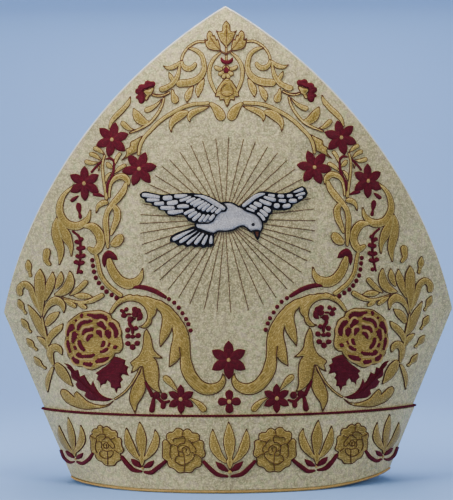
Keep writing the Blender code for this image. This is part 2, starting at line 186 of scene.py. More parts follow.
def edge_angle(height, proud):
    """Angle on the section where a wall that stands proud of the panel ends."""
    cut = form()
    height = np.asarray(height, float)
    centre, radius = section(height)
    seam = np.arccos((centre + cut.gap / 2) / (radius + proud))
    horn = np.arcsin(np.minimum(horn_half_width(height) / radius, 1.0))
    return np.where(height > cut.corner_height, np.minimum(seam, horn), seam)


def rim_lift(share, back=False):
    """Rise of the rim, by the share of the way from the front's middle to a seam."""
    cut = form()
    share = np.asarray(share, float)
    left = share > 0 if back else share < 0
    lift = np.where(left, cut.rim_lift_left, cut.rim_lift_right)
    return lift * np.maximum((np.abs(share) - LIFT_START) / (1 - LIFT_START), 0.0) ** LIFT_POWER


def on_section(angle, height, proud, back=False):
    """Points of the front, or of the back as it is seen from behind."""
    centre, radius = section(height)
    reach = radius + proud
    points = np.stack([reach * np.sin(angle), centre - reach * np.cos(angle),
                       np.broadcast_to(height, np.shape(angle))], axis=-1)
    return points * ((-1, -1, 1) if back else (1, 1, 1))


# ---------------------------------------------------------------- where the photo shows things

LENS_PIXELS = 2135.0           # distance to the picture plane, in pixels
PICTURE = (453, 500)
AXIS_PIXEL = (227.5, 250.0)    # the mitre's centre line, at the height of the camera
PIXEL = 0.00063                # what one pixel covers on the front, about
ROLL = 0.0087                  # the mitre stands turned a little to the left in the photo
SENSOR = 36.0
FIRST_DEPTH = -0.08            # where the search for a place on the panel starts
SEARCHES = 30


def from_photo(pixels, proud=0.0):
    """Along and height on the front panel of points that are seen at these pixels."""
    studio = bpy.context.scene.mitre_studio
    right = (pixels[:, 0] - AXIS_PIXEL[0]) / LENS_PIXELS
    up = (AXIS_PIXEL[1] - pixels[:, 1]) / LENS_PIXELS
    turned = right * math.cos(ROLL) + up * math.sin(ROLL)
    level = up * math.cos(ROLL) - right * math.sin(ROLL)
    y = np.full(len(pixels), FIRST_DEPTH)
    for _ in range(SEARCHES):
        away = y + studio.distance
        x, height = turned * away, studio.camera_height + level * away
        centre, radius = section(height)
        reach = radius + proud
        y = centre - np.sqrt(np.maximum(reach * reach - x * x, 1e-9))
    along = radius * np.arcsin(np.clip(x / reach, -1.0, 1.0))
    return np.stack([along, height], axis=-1)


# ---------------------------------------------------------------- puckers in the cloth

CREASES = {
    # soft folds: from pixel, to pixel, width in pixels, height in metres
    "under the right arch, outer": ((296, 117), (311, 147), 5.0, 0.0011),
    "under the right arch, inner": ((284, 120), (302, 147), 5.0, 0.0009),
    "under the right arch, small": ((274, 124), (286, 143), 4.0, 0.0005),
    "under the left arch": ((160, 128), (147, 150), 5.0, 0.0008),
    "below the right wing": ((300, 214), (310, 246), 4.0, 0.0007),
    "right of the tail": ((288, 226), (296, 252), 4.0, 0.0005),
    "left of the tail": ((160, 232), (152, 262), 4.5, 0.0006),
    "left side, upper": ((56, 176), (38, 214), 6.0, 0.0007),
    "left side, lower": ((40, 226), (22, 262), 6.0, 0.0007),
    "right side, upper": ((398, 176), (414, 214), 6.0, 0.0006),
    "right side, lower": ((420, 236), (436, 262), 6.0, 0.0007),
    "near the tip, left": ((206, 22), (182, 40), 5.0, 0.0005),
    "near the tip, right": ((246, 24), (276, 46), 5.0, 0.0005),
}
# Length and height of the waves in the quilted ground
PUCKERS = (0.034, 0.00034)
CRINKLES = (0.008, 0.00009)
FRONT_SEED, BACK_SEED = 20, 40
EDGE_CALM = 0.007              # the cloth lies still this close to an edge
WAVES = 26                     # how many waves of many directions make up an unrest
WAVE_SPREAD = (0.65, 1.6)


def unrest(along, height, wavelength, seed):
    """An even, seeded unrest between about -1 and 1."""
    dice = np.random.default_rng(seed)
    total = np.zeros(np.shape(along))
    for _ in range(WAVES):
        turn = dice.uniform(0, 2 * math.pi)
        pace = 2 * math.pi / (wavelength * dice.uniform(*WAVE_SPREAD))
        phase = dice.uniform(0, 2 * math.pi)
        total += np.sin((along * math.cos(turn) + height * math.sin(turn)) * pace + phase)
    return total / math.sqrt(WAVES)


def crease(along, height, ends, width, rise):
    """One soft fold between two places."""
    start, end = ends
    run = end - start
    reach = np.hypot(*run)
    share = ((along - start[0]) * run[0] + (height - start[1]) * run[1]) / reach ** 2
    aside = ((along - start[0]) * run[1] - (height - start[1]) * run[0]) / reach
    return rise * np.exp(-(aside / width) ** 2) * np.exp(-((share - 0.5) * 2) ** 4)


def pucker(along, height, back=False):
    """How far the cloth stands off the panel's even form."""
    cut = form()
    along, height = np.asarray(along, float), np.asarray(height, float)
    off = 0.0
    seed = BACK_SEED if back else FRONT_SEED
    for wavelength, rise in (PUCKERS, CRINKLES):
        off = off + rise * unrest(along, height, wavelength, seed)
        seed += 1
    if not back:
        for start, end, width, rise in CREASES.values():
            ends = from_photo(np.array([start, end], float))
            off = off + crease(along, height, ends, width * PIXEL, rise)
    radius = section(height)[1]
    from_edge = (edge_angle(height, 0.0) - np.abs(along) / radius) * radius
    from_edge = np.minimum(from_edge, height - cut.band_height - 2 * cut.cord_radius)
    return off * np.clip(from_edge / EDGE_CALM, 0.0, 1.0)


def lay(points, back=False, proud=0.0):
    """Points of along, height and rise, laid on the puckered cloth."""
    along, height, rise = points[:, 0], points[:, 1], points[:, 2]
    stand = rise + proud + pucker(along, height, back)
    return on_section(along / section(height)[1], height, stand, back)


# ---------------------------------------------------------------- making pieces

def deselect():
    bpy.ops.object.select_all(action="DESELECT")


def hand_over(name, finish, stands_for):
    """Names the new piece, gives it its finish and lets it ride where its solids were."""
    piece = bpy.context.active_object
    piece.name = piece.data.name = name
    piece.data.materials.clear()
    for made in finish if isinstance(finish, (list, tuple)) else [finish]:
        piece.data.materials.append(made)
    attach(piece, "root")
    if stands_for:
        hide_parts(*stands_for)
    return piece


def add_grid(columns, rows):
    """A grid of cloth; returns its object and each point's share across and share up."""
    deselect()
    bpy.ops.mesh.primitive_grid_add(x_subdivisions=columns, y_subdivisions=rows, size=2)
    cloth = bpy.context.active_object
    flat = np.empty(len(cloth.data.vertices) * 3)
    cloth.data.vertices.foreach_get("co", flat)
    flat = flat.reshape(-1, 3)
    return cloth, flat[:, 0], (flat[:, 1] + 1) / 2


def place(cloth, points, marks):
    """Puts a grid's points where they belong, and marks the cloth in metres for its weave."""
    mesh = cloth.data
    mesh.vertices.foreach_set("co", points.ravel())
    corners = np.empty(len(mesh.loops), int)
    mesh.loops.foreach_get("vertex_index", corners)
    weave = mesh.uv_layers.active or mesh.uv_layers.new(name="cloth")
    weave.name = "cloth"
    weave.data.foreach_set("uv", marks[corners].ravel())
    mesh.update()


MERGE = 1e-6                   # points of a cloth this close together are one


def on_all_faces(action, **settings):
    """Works on the whole of the active piece in edit mode."""
    bpy.ops.object.mode_set(mode="EDIT")
    bpy.ops.mesh.select_all(action="SELECT")
    action(**settings)
    bpy.ops.object.mode_set(mode="OBJECT")


def thicken(cloth, wall, offset=-1.0, lined=False):
    """Gives a cloth its wall, inwards from its outer face."""
    solid = cloth.modifiers.new("wall", "SOLIDIFY")
    solid.thickness = wall
    solid.offset = offset
    solid.use_even_offset = False
    if lined:
        solid.material_offset = 1
    bpy.ops.object.modifier_apply(modifier=solid.name)


def soften(angle=50.0):
    bpy.ops.object.shade_smooth_by_angle(angle=math.radians(angle))


# ---------------------------------------------------------------- finishes

TURN = 2 * math.pi
BUMP_STRENGTH = 0.9


class Amount:
    """A number that varies over a surface.  Sums on it add Math nodes."""

    def __init__(self, finish, socket):
        self.finish, self.socket = finish, socket

    def sum(self, operation, *others):
        return self.worked(operation, self, *others)

    def worked(self, operation, *values):
        node = self.finish.node("ShaderNodeMath", {"operation": operation}, values)
        return Amount(self.finish, node.outputs[0])

    def __add__(self, other):
        return self.sum("ADD", other)

    def __sub__(self, other):
        return self.sum("SUBTRACT", other)

    def __mul__(self, other):
        return self.sum("MULTIPLY", other)

    def __pow__(self, other):
        return self.sum("POWER", other)

    def __abs__(self):
        return self.sum("ABSOLUTE")

    def __rsub__(self, other):
        return self.worked("SUBTRACT", other, self)

    __radd__, __rmul__ = __add__, __mul__

    def wave(self):
        return self.sum("SINE")

    def least(self, other):
        return self.sum("MINIMUM", other)

    def most(self, other):
        return self.sum("MAXIMUM", other)

    def folded(self, period):
        """Back and forth between 0 and the period."""
        return self.sum("PINGPONG", period)

    def between(self, low, high):
        """0 below low, 1 above high, and smooth between."""
        node = self.finish.node("ShaderNodeMapRange", {"interpolation_type": "SMOOTHSTEP"},
                                {"Value": self, "From Min": low, "From Max": high})
        return Amount(self.finish, node.outputs[0])


class Finish:
    """A material that is put together node by node."""

    def __init__(self, name):
        self.material = bpy.data.materials.new(name)
        self.material.use_nodes = True
        self.tree = self.material.node_tree
        self.shader = self.tree.nodes["Principled BSDF"]

    def set(self, socket, value):
        """Gives an input a value, or a link from an amount or an output."""
        if isinstance(value, Amount):
            value = value.socket
        if isinstance(value, bpy.types.NodeSocket):
            self.tree.links.new(value, socket)
        elif socket.type == "RGBA":
            socket.default_value = (*value[:3], 1.0)
        else:
            socket.default_value = value

    def node(self, kind, settings=None, values=()):
        """A node of a kind, with its settings first and then its inputs' values."""
        node = self.tree.nodes.new(kind)
        for name, value in (settings or {}).items():
            setattr(node, name, value)
        pairs = values.items() if isinstance(values, dict) else enumerate(values)
        for key, value in pairs:
            self.set(node.inputs[key], value)
        return node

    def marks(self):
        """Along and across the cloth or the thread, in metres, from the piece's own map."""
        split = self.node("ShaderNodeSeparateXYZ", values=[self.place().socket])
        return Amount(self, split.outputs[0]), Amount(self, split.outputs[1])

    def place(self):
        return Amount(self, self.node("ShaderNodeUVMap", {"uv_map": "cloth"}).outputs[0])

    def grain(self, scale, detail, roughness, stretch=(1.0, 1.0)):
        """Seedless noise of a scale per metre, about 0.5."""
        spot = self.node("ShaderNodeVectorMath", {"operation": "MULTIPLY"},
                         [self.place(), (*stretch, 1.0)])
        noise = self.node("ShaderNodeTexNoise", {"noise_dimensions": "2D"},
                          {"Vector": spot.outputs[0], "Scale": scale, "Detail": detail,
                           "Roughness": roughness})
        return Amount(self, noise.outputs["Fac"])

    def mix(self, share, under, over):
        """A colour between two colours."""
        node = self.node("ShaderNodeMix", {"data_type": "RGBA"})
        self.set(node.inputs[0], share)
        self.set(node.inputs[6], under)
        self.set(node.inputs[7], over)
        return node.outputs[2]

    def bump(self, height, distance):
        node = self.node("ShaderNodeBump", values={"Height": height, "Distance": distance,
                                                    "Strength": BUMP_STRENGTH})
        self.set(self.shader.inputs["Normal"], node.outputs[0])

    def surface(self, **values):
        for name, value in values.items():
            self.set(self.shader.inputs[name.replace("_", " ")], value)
        return self.material


def scaled(shade, share):
    return tuple(min(part * share, 1.0) for part in shade)


GRAINS = {
    # scale per metre, detail and roughness of the unevenness of thread and cloth
    "speck": (900.0, 3.0, 0.75),
    "mottle": (330.0, 2.0, 0.6),
    "cloud": (24.0, 2.0, 0.5),
    "wander": (500.0, 1.0, 0.5),
    "glitter": (1300.0, 3.0, 0.75),
    "drift": (150.0, 2.0, 0.5),
}
HUE_GRAIN = (210.0, 2.0, 0.6)
HUE_STRETCH = (1.0, 1.2)
HUE_SHARE = 0.85
OLIVE_HUES = (0.51, 0.61)      # where in the grain a hue begins and is full
BLUSH_HUES = (0.49, 0.39)
# Grain, where it begins and is full, its strength, and its shade as a share of the ground's
CLOUDING = ("cloud", 0.38, 0.62, 0.55, 0.68)
# Grains whose shade is above 1 are painted glints of the threads
GLINTS = (
    ("mottle", 0.50, 0.64, 0.50, 1.55),
    ("mottle", 0.48, 0.35, 0.50, 0.55),
    ("speck", 0.52, 0.66, 0.75, 2.05),
    ("speck", 0.46, 0.30, 0.50, 0.45),
)
WEAVE = 0.0007                 # from one thread of the cloth to the next
RIB = 0.004                    # from one rib of the plain cloth to the next
RIB_SHARE = 0.3
CLOTH_BUMP = 0.00018
WEAVE_RELIEF, SPECK_RELIEF, MOTTLE_RELIEF, FIGURE_RELIEF = 0.25, 1.4, 1.2, 0.8
CLOTH_ROUGHNESS = 0.50
FIGURE_POLISH = 0.12           # how much smoother the figure is, and how much rougher a speck
BURST_HEIGHT = 0.168           # the damask is darker round the dove
BURST_RADIUS = 0.054
BURST_EDGE = (1.15, 0.8)       # shares of the radius where it begins and is full
BURST_SHARE = 0.75
BURST_SHADE = 0.72


def cloth_finish(name, ground, figure, plain=False, burst=False):
    """Damask: woven figure on its ground, mottled, with painted glints of its coloured threads."""
    made = Finish(name)
    shades = bpy.context.scene.mitre_colours
    along, height = made.marks()
    grains = {kind: made.grain(*GRAINS[kind]) for kind in ("speck", "mottle", "cloud")}

    def mottled(shade, kind, start, full, strength, share):
        return made.mix(grains[kind].between(start, full) * strength, shade,
                        scaled(ground, share))

    weave = (along * (TURN / WEAVE)).wave() * (height * (TURN / WEAVE)).wave()
    if plain:
        woven = ((height * (TURN / RIB)).wave() * 0.5 + 0.5) * RIB_SHARE
    else:
        woven = damask(made, along, height)
    shade = made.mix(woven, ground, figure)
    if not plain:
        hue = made.grain(*HUE_GRAIN, stretch=HUE_STRETCH)
        shade = made.mix(hue.between(*OLIVE_HUES) * HUE_SHARE, shade, shades.olive)
        shade = made.mix(hue.between(*BLUSH_HUES) * HUE_SHARE, shade, shades.blush)
    shade = mottled(shade, *CLOUDING)
    if burst:
        reach = (along * along + (height - BURST_HEIGHT) ** 2) ** 0.5
        edge = [BURST_RADIUS * share for share in BURST_EDGE]
        shade = made.mix(reach.between(*edge) * BURST_SHARE, shade, scaled(figure, BURST_SHADE))
    # the grains that brighten the ground paint glints of the threads
    for glint in GLINTS:
        shade = mottled(shade, *glint)
    made.bump(weave * WEAVE_RELIEF + grains["speck"] * SPECK_RELIEF
              + grains["mottle"] * MOTTLE_RELIEF - woven * FIGURE_RELIEF, CLOTH_BUMP)
    rough = CLOTH_ROUGHNESS - woven * FIGURE_POLISH + grains["speck"] * FIGURE_POLISH
    return made.surface(Base_Color=shade, Roughness=rough, Metallic=0.10, Sheen_Weight=0.04,
                        Specular_IOR_Level=0.4)


MEDALLION = (0.052, 0.066)     # half the repeat of the damask, across and up
MEDALLION_TALL = 0.7          # rings are a little taller than they are wide
RING = 0.0235                  # radii within a medallion, from its middle
INNER_RING = 0.0160
DOT_RING = 0.0198
RING_LINE = (0.0012, 0.0020)   # where a line's full strength ends and where it has faded
INNER_LINE = (0.0008, 0.0014)
DOT_LINE = (0.0006, 0.0010)
ARM_LINE = (0.0016, 0.0024)
ARM_REACH = (0.0125, 0.0135)
RIBS_START = (0.0255, 0.0265)
RIBS_END = (0.0315, 0.0325)
RIBS_PACE = 0.0026
RIB_WAVE = (-0.1, 0.3)
RIBS_SHARE = 0.7
LOBES, LOBE_DEPTH = 8, 0.0014
DOTS = 28
DOT_WAVE = (0.2, 0.5)
SECOND_MEDALLION = 0.8         # strength of the medallions halfway between the first ones


def damask(made, along, height):
    """1 on the woven figure: ringed medallions with a cross, and ribbed leaves between."""
    across, up = MEDALLION
    x = (along + 0.5 * across).folded(across) * 2 - across
    y = (height + 0.5 * up).folded(up) * 2 - up
    second = medallion(made, abs(x) - across, abs(y) - up)
    return medallion(made, x, y).most(second * SECOND_MEDALLION)


def drawn_line(off, line):
    """1 on a line that is this far off, 0 beside it."""
    return 1 - abs(off).between(*line)


def medallion(made, x, y):
    reach = (x * x + y * y * MEDALLION_TALL) ** 0.5
    turn = Amount(made, made.node("ShaderNodeMath", {"operation": "ARCTAN2"}, [y, x]).outputs[0])
    lobes = (turn * LOBES).wave() * LOBE_DEPTH
    ring = drawn_line(reach - RING + lobes, RING_LINE)
    inner = drawn_line(reach - INNER_RING, INNER_LINE)
    arms = 1 - abs(x).least(abs(y)).between(*ARM_LINE)
    arms = arms * (1 - reach.between(*ARM_REACH))
    dots = (turn * DOTS).wave().between(*DOT_WAVE) * drawn_line(reach - DOT_RING, DOT_LINE)
    ribs = ((reach * (TURN / RIBS_PACE)).wave().between(*RIB_WAVE)
            * reach.between(*RIBS_START) * (1 - reach.between(*RIBS_END)) * RIBS_SHARE)
    return ring.most(inner).most(arms).most(dots).most(ribs)


STRAND_SLANT = 0.35            # satin stitches lie a little aslant
STRAND_WANDER = 0.0004
HIGHLIGHT_FROM, HIGHLIGHT_FULL, HIGHLIGHT_NEAREST = 0.0012, 0.0005, 0.0003    # how far in the painted highlight lies
HIGHLIGHT_STRENGTH = 0.7
STRAND_SHADING = (0.45, 1.15, 0.68)      # strength, and the painted light and shade of a strand's sides and its top
DRIFT_TONES = (0.35, 0.65, 0.45, 0.66)     # where it begins and is full, strength and shade
DULL_GRAINS, DULL_SHADE = (0.47, 0.32), 0.42
PAINTED_GLINT_GRAINS = (0.52, 0.70)      # where in the grain the painted glints begin and are full
GRAIN_ROUGHNESS, GRAIN_POLISH = 0.25, 0.12     # added by a full grain, and taken off everywhere
THREAD_BUMP = 0.00024
THREAD_RELIEF = 0.7
THREADS = {
    # shade, the brightness of its painted glints, roughness, and what else differs from plain
    # thread
    "pale gold knots": ("pale_gold", 1.4, 0.45, {"metallic": 0.2}),
    "burgundy satin": ("burgundy", 2.4, 0.68, {"glitter": 0.6, "gloss": 0.12}),
    "silver satin": ("silver", 1.9, 0.46, {"metallic": 0.1, "glitter": 0.7}),
    "dark thread": ("dark", 2.0, 0.72, {"gloss": 0.1}),
    "brown thread": ("brown", 1.8, 0.66, {"strand": 0.0009, "gloss": 0.15}),
    "ray thread": ("ray", 1.8, 0.66, {"strand": 0.0009}),
    "gold piping": ("rim_gold", 1.5, 0.45, {"metallic": 0.3, "strand": 0.0008}),
    # its pale shade is partly a painted highlight along the horns' edges
    "cream piping": ("edge_cream", 1.2, 0.5, {"strand": 0.0008, "glitter": 0.3}),
}


def thread_finish(name, shade, glint, roughness, metallic=0.0, strand=None, glitter=0.5,
                  gloss=0.3, rim=None):
    """Satin stitch: strands side by side along the work, with painted shading and painted glints.

    The piece's map holds the length along the work and the distance in from its edge.
    """
    made = Finish(name)
    width = strand or threads().strand
    along, inwards = made.marks()
    wander = made.grain(*GRAINS["wander"]) * STRAND_WANDER
    strands = ((along - inwards * STRAND_SLANT + wander) * (TURN / width)).wave() * 0.5 + 0.5
    grains = made.grain(*GRAINS["glitter"])
    drift = made.grain(*GRAINS["drift"])
    # painted light and shade across each strand
    strength, side, top = STRAND_SHADING
    body = made.mix(strands * strength, scaled(shade, side), scaled(shade, top))
    start, full, strength, tone = DRIFT_TONES
    body = made.mix(drift.between(start, full) * strength, body, scaled(shade, tone))
    # a painted highlight of lighter gold just inside the edge of the work
    if rim:
        edge = inwards.between(HIGHLIGHT_FROM, HIGHLIGHT_FULL) * inwards.between(0.0, HIGHLIGHT_NEAREST)
        body = made.mix(edge * HIGHLIGHT_STRENGTH, body, rim)
    body = made.mix(grains.between(*DULL_GRAINS) * glitter, body, scaled(shade, DULL_SHADE))
    # painted glints on the grains
    body = made.mix(grains.between(*PAINTED_GLINT_GRAINS) * glitter, body, glint)
    made.bump(strands * THREAD_RELIEF + grains * THREAD_RELIEF, THREAD_BUMP)
    rough = grains * GRAIN_ROUGHNESS + (roughness - GRAIN_POLISH)
    return made.surface(Base_Color=body, Roughness=rough, Metallic=metallic,
                        Specular_IOR_Level=gloss)


def finishes():
    """Every finish by name, made once."""
    shades = bpy.context.scene.mitre_colours
    if "cream damask" not in bpy.data.materials:
        cloth_finish("cream damask", shades.cream, shades.figure)
        cloth_finish("front damask", shades.cream, shades.figure, burst=True)
        cloth_finish("gusset cloth", shades.gusset, scaled(shades.gusset, 0.92), plain=True)
        cloth_finish("lining", shades.lining, scaled(shades.lining, 0.95), plain=True)
        thread_finish("gold satin", shades.gold, shades.bright_gold, 0.46, 0.35, glitter=0.8,
                      rim=tuple(shades.gold_highlight))
        for name, (shade, glint, roughness, others) in THREADS.items():
            shade = getattr(shades, shade)
            thread_finish(name, shade, scaled(shade, glint), roughness, **others)
    return bpy.data.materials


# ---------------------------------------------------------------- cloth pieces

COLUMNS = 150
ROWS_BELOW_CORNER = 66
ROWS_ABOVE_CORNER = 120
BAND_COLUMNS, BAND_ROWS = 190, 20
BAND_UNREST = (0.00012, 0.016, 61)     # height, length and seed of its waves
BAND_FOLDS = (0.00022, 0.011, 62)      # the same of its upright soft folds
FOLD_SLANT = 0.12                      # how fast a fold changes on its way up


def panel_heights(share, up, back):
    """Height of each point: rows follow the rim below and meet the corner exactly."""
    cut = form()
    foot = rim_lift(share, back)
    rows = ROWS_BELOW_CORNER + ROWS_ABOVE_CORNER
    low = ROWS_BELOW_CORNER / rows
    below = foot + (cut.corner_height - foot) * up / low
    above = cut.corner_height + (cut.height - cut.corner_height) * (up - low) / (1 - low)
    return np.where(up < low, below, above)


def make_panel(name, back):
    cloth, share, up = add_grid(COLUMNS, ROWS_BELOW_CORNER + ROWS_ABOVE_CORNER)
    height = panel_heights(share, up, back)
    along = share * edge_angle(height, 0.0) * section(height)[1]
    flat = np.stack([along, height, np.zeros(len(along))], axis=-1)
    place(cloth, lay(flat, back), flat[:, :2])
    on_all_faces(bpy.ops.mesh.remove_doubles, threshold=MERGE)
    thicken(cloth, form().panel_wall, lined=True)
    soften()
    looks = finishes()
    damasked = looks["cream damask" if back else "front damask"]
    hand_over(name + "_cloth", [damasked, looks["lining"]], [name])


def make_band(name, back):
    cut = form()
    cloth, share, up = add_grid(BAND_COLUMNS, BAND_ROWS)
    foot = cut.band_foot + rim_lift(share, back)
    height = foot + (cut.band_height - foot) * up
    proud = cut.gap + cut.band_wall
    angle = share * edge_angle(height, proud)
    along = angle * section(height)[1]
    soft = BAND_UNREST[0] * unrest(along, height, *BAND_UNREST[1:])
    soft = soft + BAND_FOLDS[0] * unrest(along, height * FOLD_SLANT, *BAND_FOLDS[1:])
    soft = soft * (1 - (2 * up - 1) ** 4) * (1 - share ** 8)    # still at its edges and seams
    place(cloth, on_section(angle, height, proud + soft, back), np.stack([along, height], axis=-1))
    thicken(cloth, cut.band_wall)
    soften()
    hand_over(name + "_cloth", finishes()["cream damask"], [name])


GUSSET_COLUMNS, GUSSET_ROWS = 180, 44
VALLEY_CENTRE = 0.150          # height of the gusset's lowest line at the middle
VALLEY_END = 0.1122            # and as far out as the reach
VALLEY_REACH = 0.141
VALLEY_POWER = 2.4
GUSSET_CLEAR = 0.0009
GUSSET_DROP = 0.0006
GUSSET_LEAST = 0.002
GUSSET_START = 0.1162          # the lowest place where it is sewn to the horns
GUSSET_FOLD = 0.0011
FOLD_PACE = 0.011
FOLD_UNREST = (0.03, 71)


def make_gusset():
    """A soft saddle sewn inside the edges of both horns, with shallow folds."""
    cut = form()
    cloth, station, up = add_grid(GUSSET_COLUMNS, GUSSET_ROWS)
    across = 2 * up - 1
    tip = cut.height - GUSSET_LEAST
    height = tip - (tip - GUSSET_START) * np.abs(station)
    angle = edge_angle(height, 0.0)
    edge = on_section(angle, height, -cut.panel_wall)
    x = edge[:, 0] * np.sign(station)
    half = np.abs(edge[:, 1]) - GUSSET_CLEAR
    top = height - GUSSET_DROP
    valley = VALLEY_CENTRE - (VALLEY_CENTRE - VALLEY_END) * (x / VALLEY_REACH) ** 2
    floor = np.minimum(valley, top - GUSSET_LEAST)
    z = floor + (top - floor) * np.abs(across) ** VALLEY_POWER
    folds = np.sin(x / FOLD_PACE + 1.3 * across) * 0.6
    folds = folds + unrest(x, across * half, *FOLD_UNREST) * 0.5
    z = z + GUSSET_FOLD * folds * np.clip((1 - np.abs(across)) * 3, 0, 1) * (1 - station ** 6)
    place(cloth, np.stack([x, half * across, z], axis=-1),
          np.stack([x, np.abs(across) * (top - floor) * np.sign(across)], axis=-1))
    thicken(cloth, cut.gusset_wall, offset=1.0)
    soften()
    hand_over("crown_gusset_cloth", finishes()["gusset cloth"], ["crown_gusset"])


# ---------------------------------------------------------------- cords and pipings

ROUTE_COLUMNS = 300
CORD_STRANDS = 3
CORD_PITCH = 0.0062            # length of one full twist
STRAND_SHARE = 0.54            # a strand's radius, as a share of the cord's
PIPING_STRANDS = 2
PIPING_PITCH = 0.0040
PIPING_START = 0.1147          # heights between which the edge pipings run up a horn
PIPING_LAST = 0.3002
PIPING_STATIONS = 110
EDGE_STEP = 0.0005
EDGE_PIPING_SIDES = 8


def ring_faces(rings, size, closed):
    """Quads from each ring of points to the next, and a cap on each open end."""
    last = rings if closed else rings - 1
    here = np.arange(last)[:, None] * size
    there = (np.arange(1, last + 1) % rings)[:, None] * size
    spot = np.arange(size)
    onward = (spot + 1) % size
    quads = np.stack([here + spot, here + onward, there + onward, there + spot], axis=-1)
    faces = quads.reshape(-1, 4).tolist()
    if not closed:
        faces.append(list(range(size))[::-1])
        faces.append(list(range((rings - 1) * size, rings * size)))
    return faces


def unit(vectors):
    return vectors / np.maximum(np.linalg.norm(vectors, axis=-1, keepdims=True), 1e-12)


def travelled(path):
    """Length along a path up to each of its points."""
    return np.concatenate([[0.0], np.cumsum(np.linalg.norm(np.diff(path, axis=0), axis=-1))])


def directions(path, closed):
    if closed:
        return unit(np.roll(path, -1, axis=0) - np.roll(path, 1, axis=0))
    return unit(np.gradient(path, axis=0))


def thread(path, radius, lead, sides=6, closed=False):
    """A round thread along a path: points, marks in metres and faces."""
    run = directions(path, closed)
    side = unit(lead - np.sum(run * lead, axis=-1, keepdims=True) * run)
    other = np.cross(run, side)
    turn = (np.arange(sides) + 0.5) / sides * TURN
    ring = np.cos(turn)[:, None] * side[:, None] + np.sin(turn)[:, None] * other[:, None]
    points = path[:, None] + radius * ring
    around = np.broadcast_to(turn * radius, (len(path), sides))
    marks = np.stack([np.broadcast_to(travelled(path)[:, None], around.shape), around], axis=-1)
    return points.reshape(-1, 3), marks.reshape(-1, 2), ring_faces(len(path), sides, closed)


def twisted(path, radius, lead, pitch, strands):
    """A closed cord laid of several strands that wind round its path."""
    run = directions(path, closed=True)
    side = unit(lead - np.sum(run * lead, axis=-1, keepdims=True) * run)
    other = np.cross(run, side)
    length = travelled(path)
    turns = max(round(length[-1] / pitch), 1)
    laid = []
    for strand in range(strands):
        turn = (length / length[-1] * turns + strand / strands) * TURN
        off = np.cos(turn)[:, None] * side + np.sin(turn)[:, None] * other
        laid.append(thread(path + off * radius * (1 - STRAND_SHARE), radius * STRAND_SHARE, lead,
                           closed=True))
    return laid


def gather(parts):
    """Several sets of points, marks and faces as one."""
    points, marks, faces, total = [], [], [], 0
    for more_points, more_marks, more_faces in parts:
        points.append(more_points)
        marks.append(more_marks)
        faces += [[corner + total for corner in face] for face in more_faces]
        total += len(more_points)
    return np.concatenate(points), np.concatenate(marks), faces


SHARP_EDGE = 60.0              # a sewn or twisted piece is smooth over smaller angles, in degrees


def add_mesh(points, marks, faces):
    deselect()
    mesh = bpy.data.meshes.new("piece")
    mesh.from_pydata(points.tolist(), [], faces)
    piece = bpy.data.objects.new("piece", mesh)
    bpy.context.collection.objects.link(piece)
    bpy.context.view_layer.objects.active = piece
    piece.select_set(True)
    place(piece, points, marks)
    soften(SHARP_EDGE)
    return piece


def ring_route(height, proud, lifted):
    """Once round the mitre, just clear of the panels."""
    share = np.linspace(-1.0, 1.0, ROUTE_COLUMNS + 1)
    heights = height + rim_lift(share) * lifted
    front = on_section(share * edge_angle(heights, proud), heights, proud)
    front[[0, -1], 1] = 0.0
    return np.concatenate([front, (front * (1, -1, 1))[-2:0:-1]])


def edge_route(back):
    """Over both edges of a horn and its tip, just outside the panel's wall."""
    cut = form()
    heights = np.linspace(PIPING_START, PIPING_LAST, PIPING_STATIONS)
    middle = -cut.panel_wall / 2
    clear = cut.edge_radius + cut.gap / 3
    angle = edge_angle(heights, 0.0)
    here = on_section(angle, heights, middle)
    above = heights + EDGE_STEP
    ahead = unit(on_section(edge_angle(above, 0.0), above, middle) - here)
    face = np.stack([np.sin(angle), -np.cos(angle), 0 * angle], axis=-1)
    outwards = unit(np.cross(ahead, face))
    right = here + outwards * np.sign(outwards[:, :1]) * clear
    right[:, 1] = np.minimum(right[:, 1], -clear)
    tip = on_section(np.zeros(1), np.full(1, cut.height), middle) + (0.0, 0.0, clear)
    route = np.concatenate([right * (-1, 1, 1), tip, right[::-1]])
    return route * (1, -1, 1) if back else route


def make_cords():
    cut = form()
    looks = finishes()
    up = np.array([0.0, 0.0, 1.0])
    route = ring_route(cut.band_height + cut.gap + cut.cord_radius,
                       2 * cut.gap + cut.cord_radius, lifted=False)
    add_mesh(*gather(twisted(route, cut.cord_radius, up, CORD_PITCH, CORD_STRANDS)))
    hand_over("band_cord_twist", looks["burgundy satin"], ["band_cord"])
    route = ring_route(cut.rim_radius + cut.gap, 2 * cut.gap + cut.rim_radius, lifted=True)
    add_mesh(*gather(twisted(route, cut.rim_radius, up, PIPING_PITCH, PIPING_STRANDS)))
    hand_over("rim_piping_twist", looks["gold piping"], ["rim_piping"])
    for name, back in (("front_edge_piping", False), ("back_edge_piping", True)):
        out = np.array([0.0, 1.0 if back else -1.0, 0.0])
        route = edge_route(back)
        add_mesh(*thread(route, cut.edge_radius, out, EDGE_PIPING_SIDES))
        hand_over(name + "_twist", looks["cream piping"], [name])


# ---------------------------------------------------------------- lappets

LAPPET_SIDE = 0.032            # from the middle of the back
LAPPET_TOP = 0.027             # height where it is sewn on
LAPPET_LENGTH = 0.330
LAPPET_WIDTH_TOP = 0.046
LAPPET_WIDTH_END = 0.056
LAPPET_BEND = 0.0115           # radius where it turns on to the surface
LAPPET_HEADING_END = math.radians(7.0)
LAPPET_TURNED = 0.6            # share of its length over which it turns to its heading
LAPPET_ROWS = 120
LAPPET_COLUMNS = 18


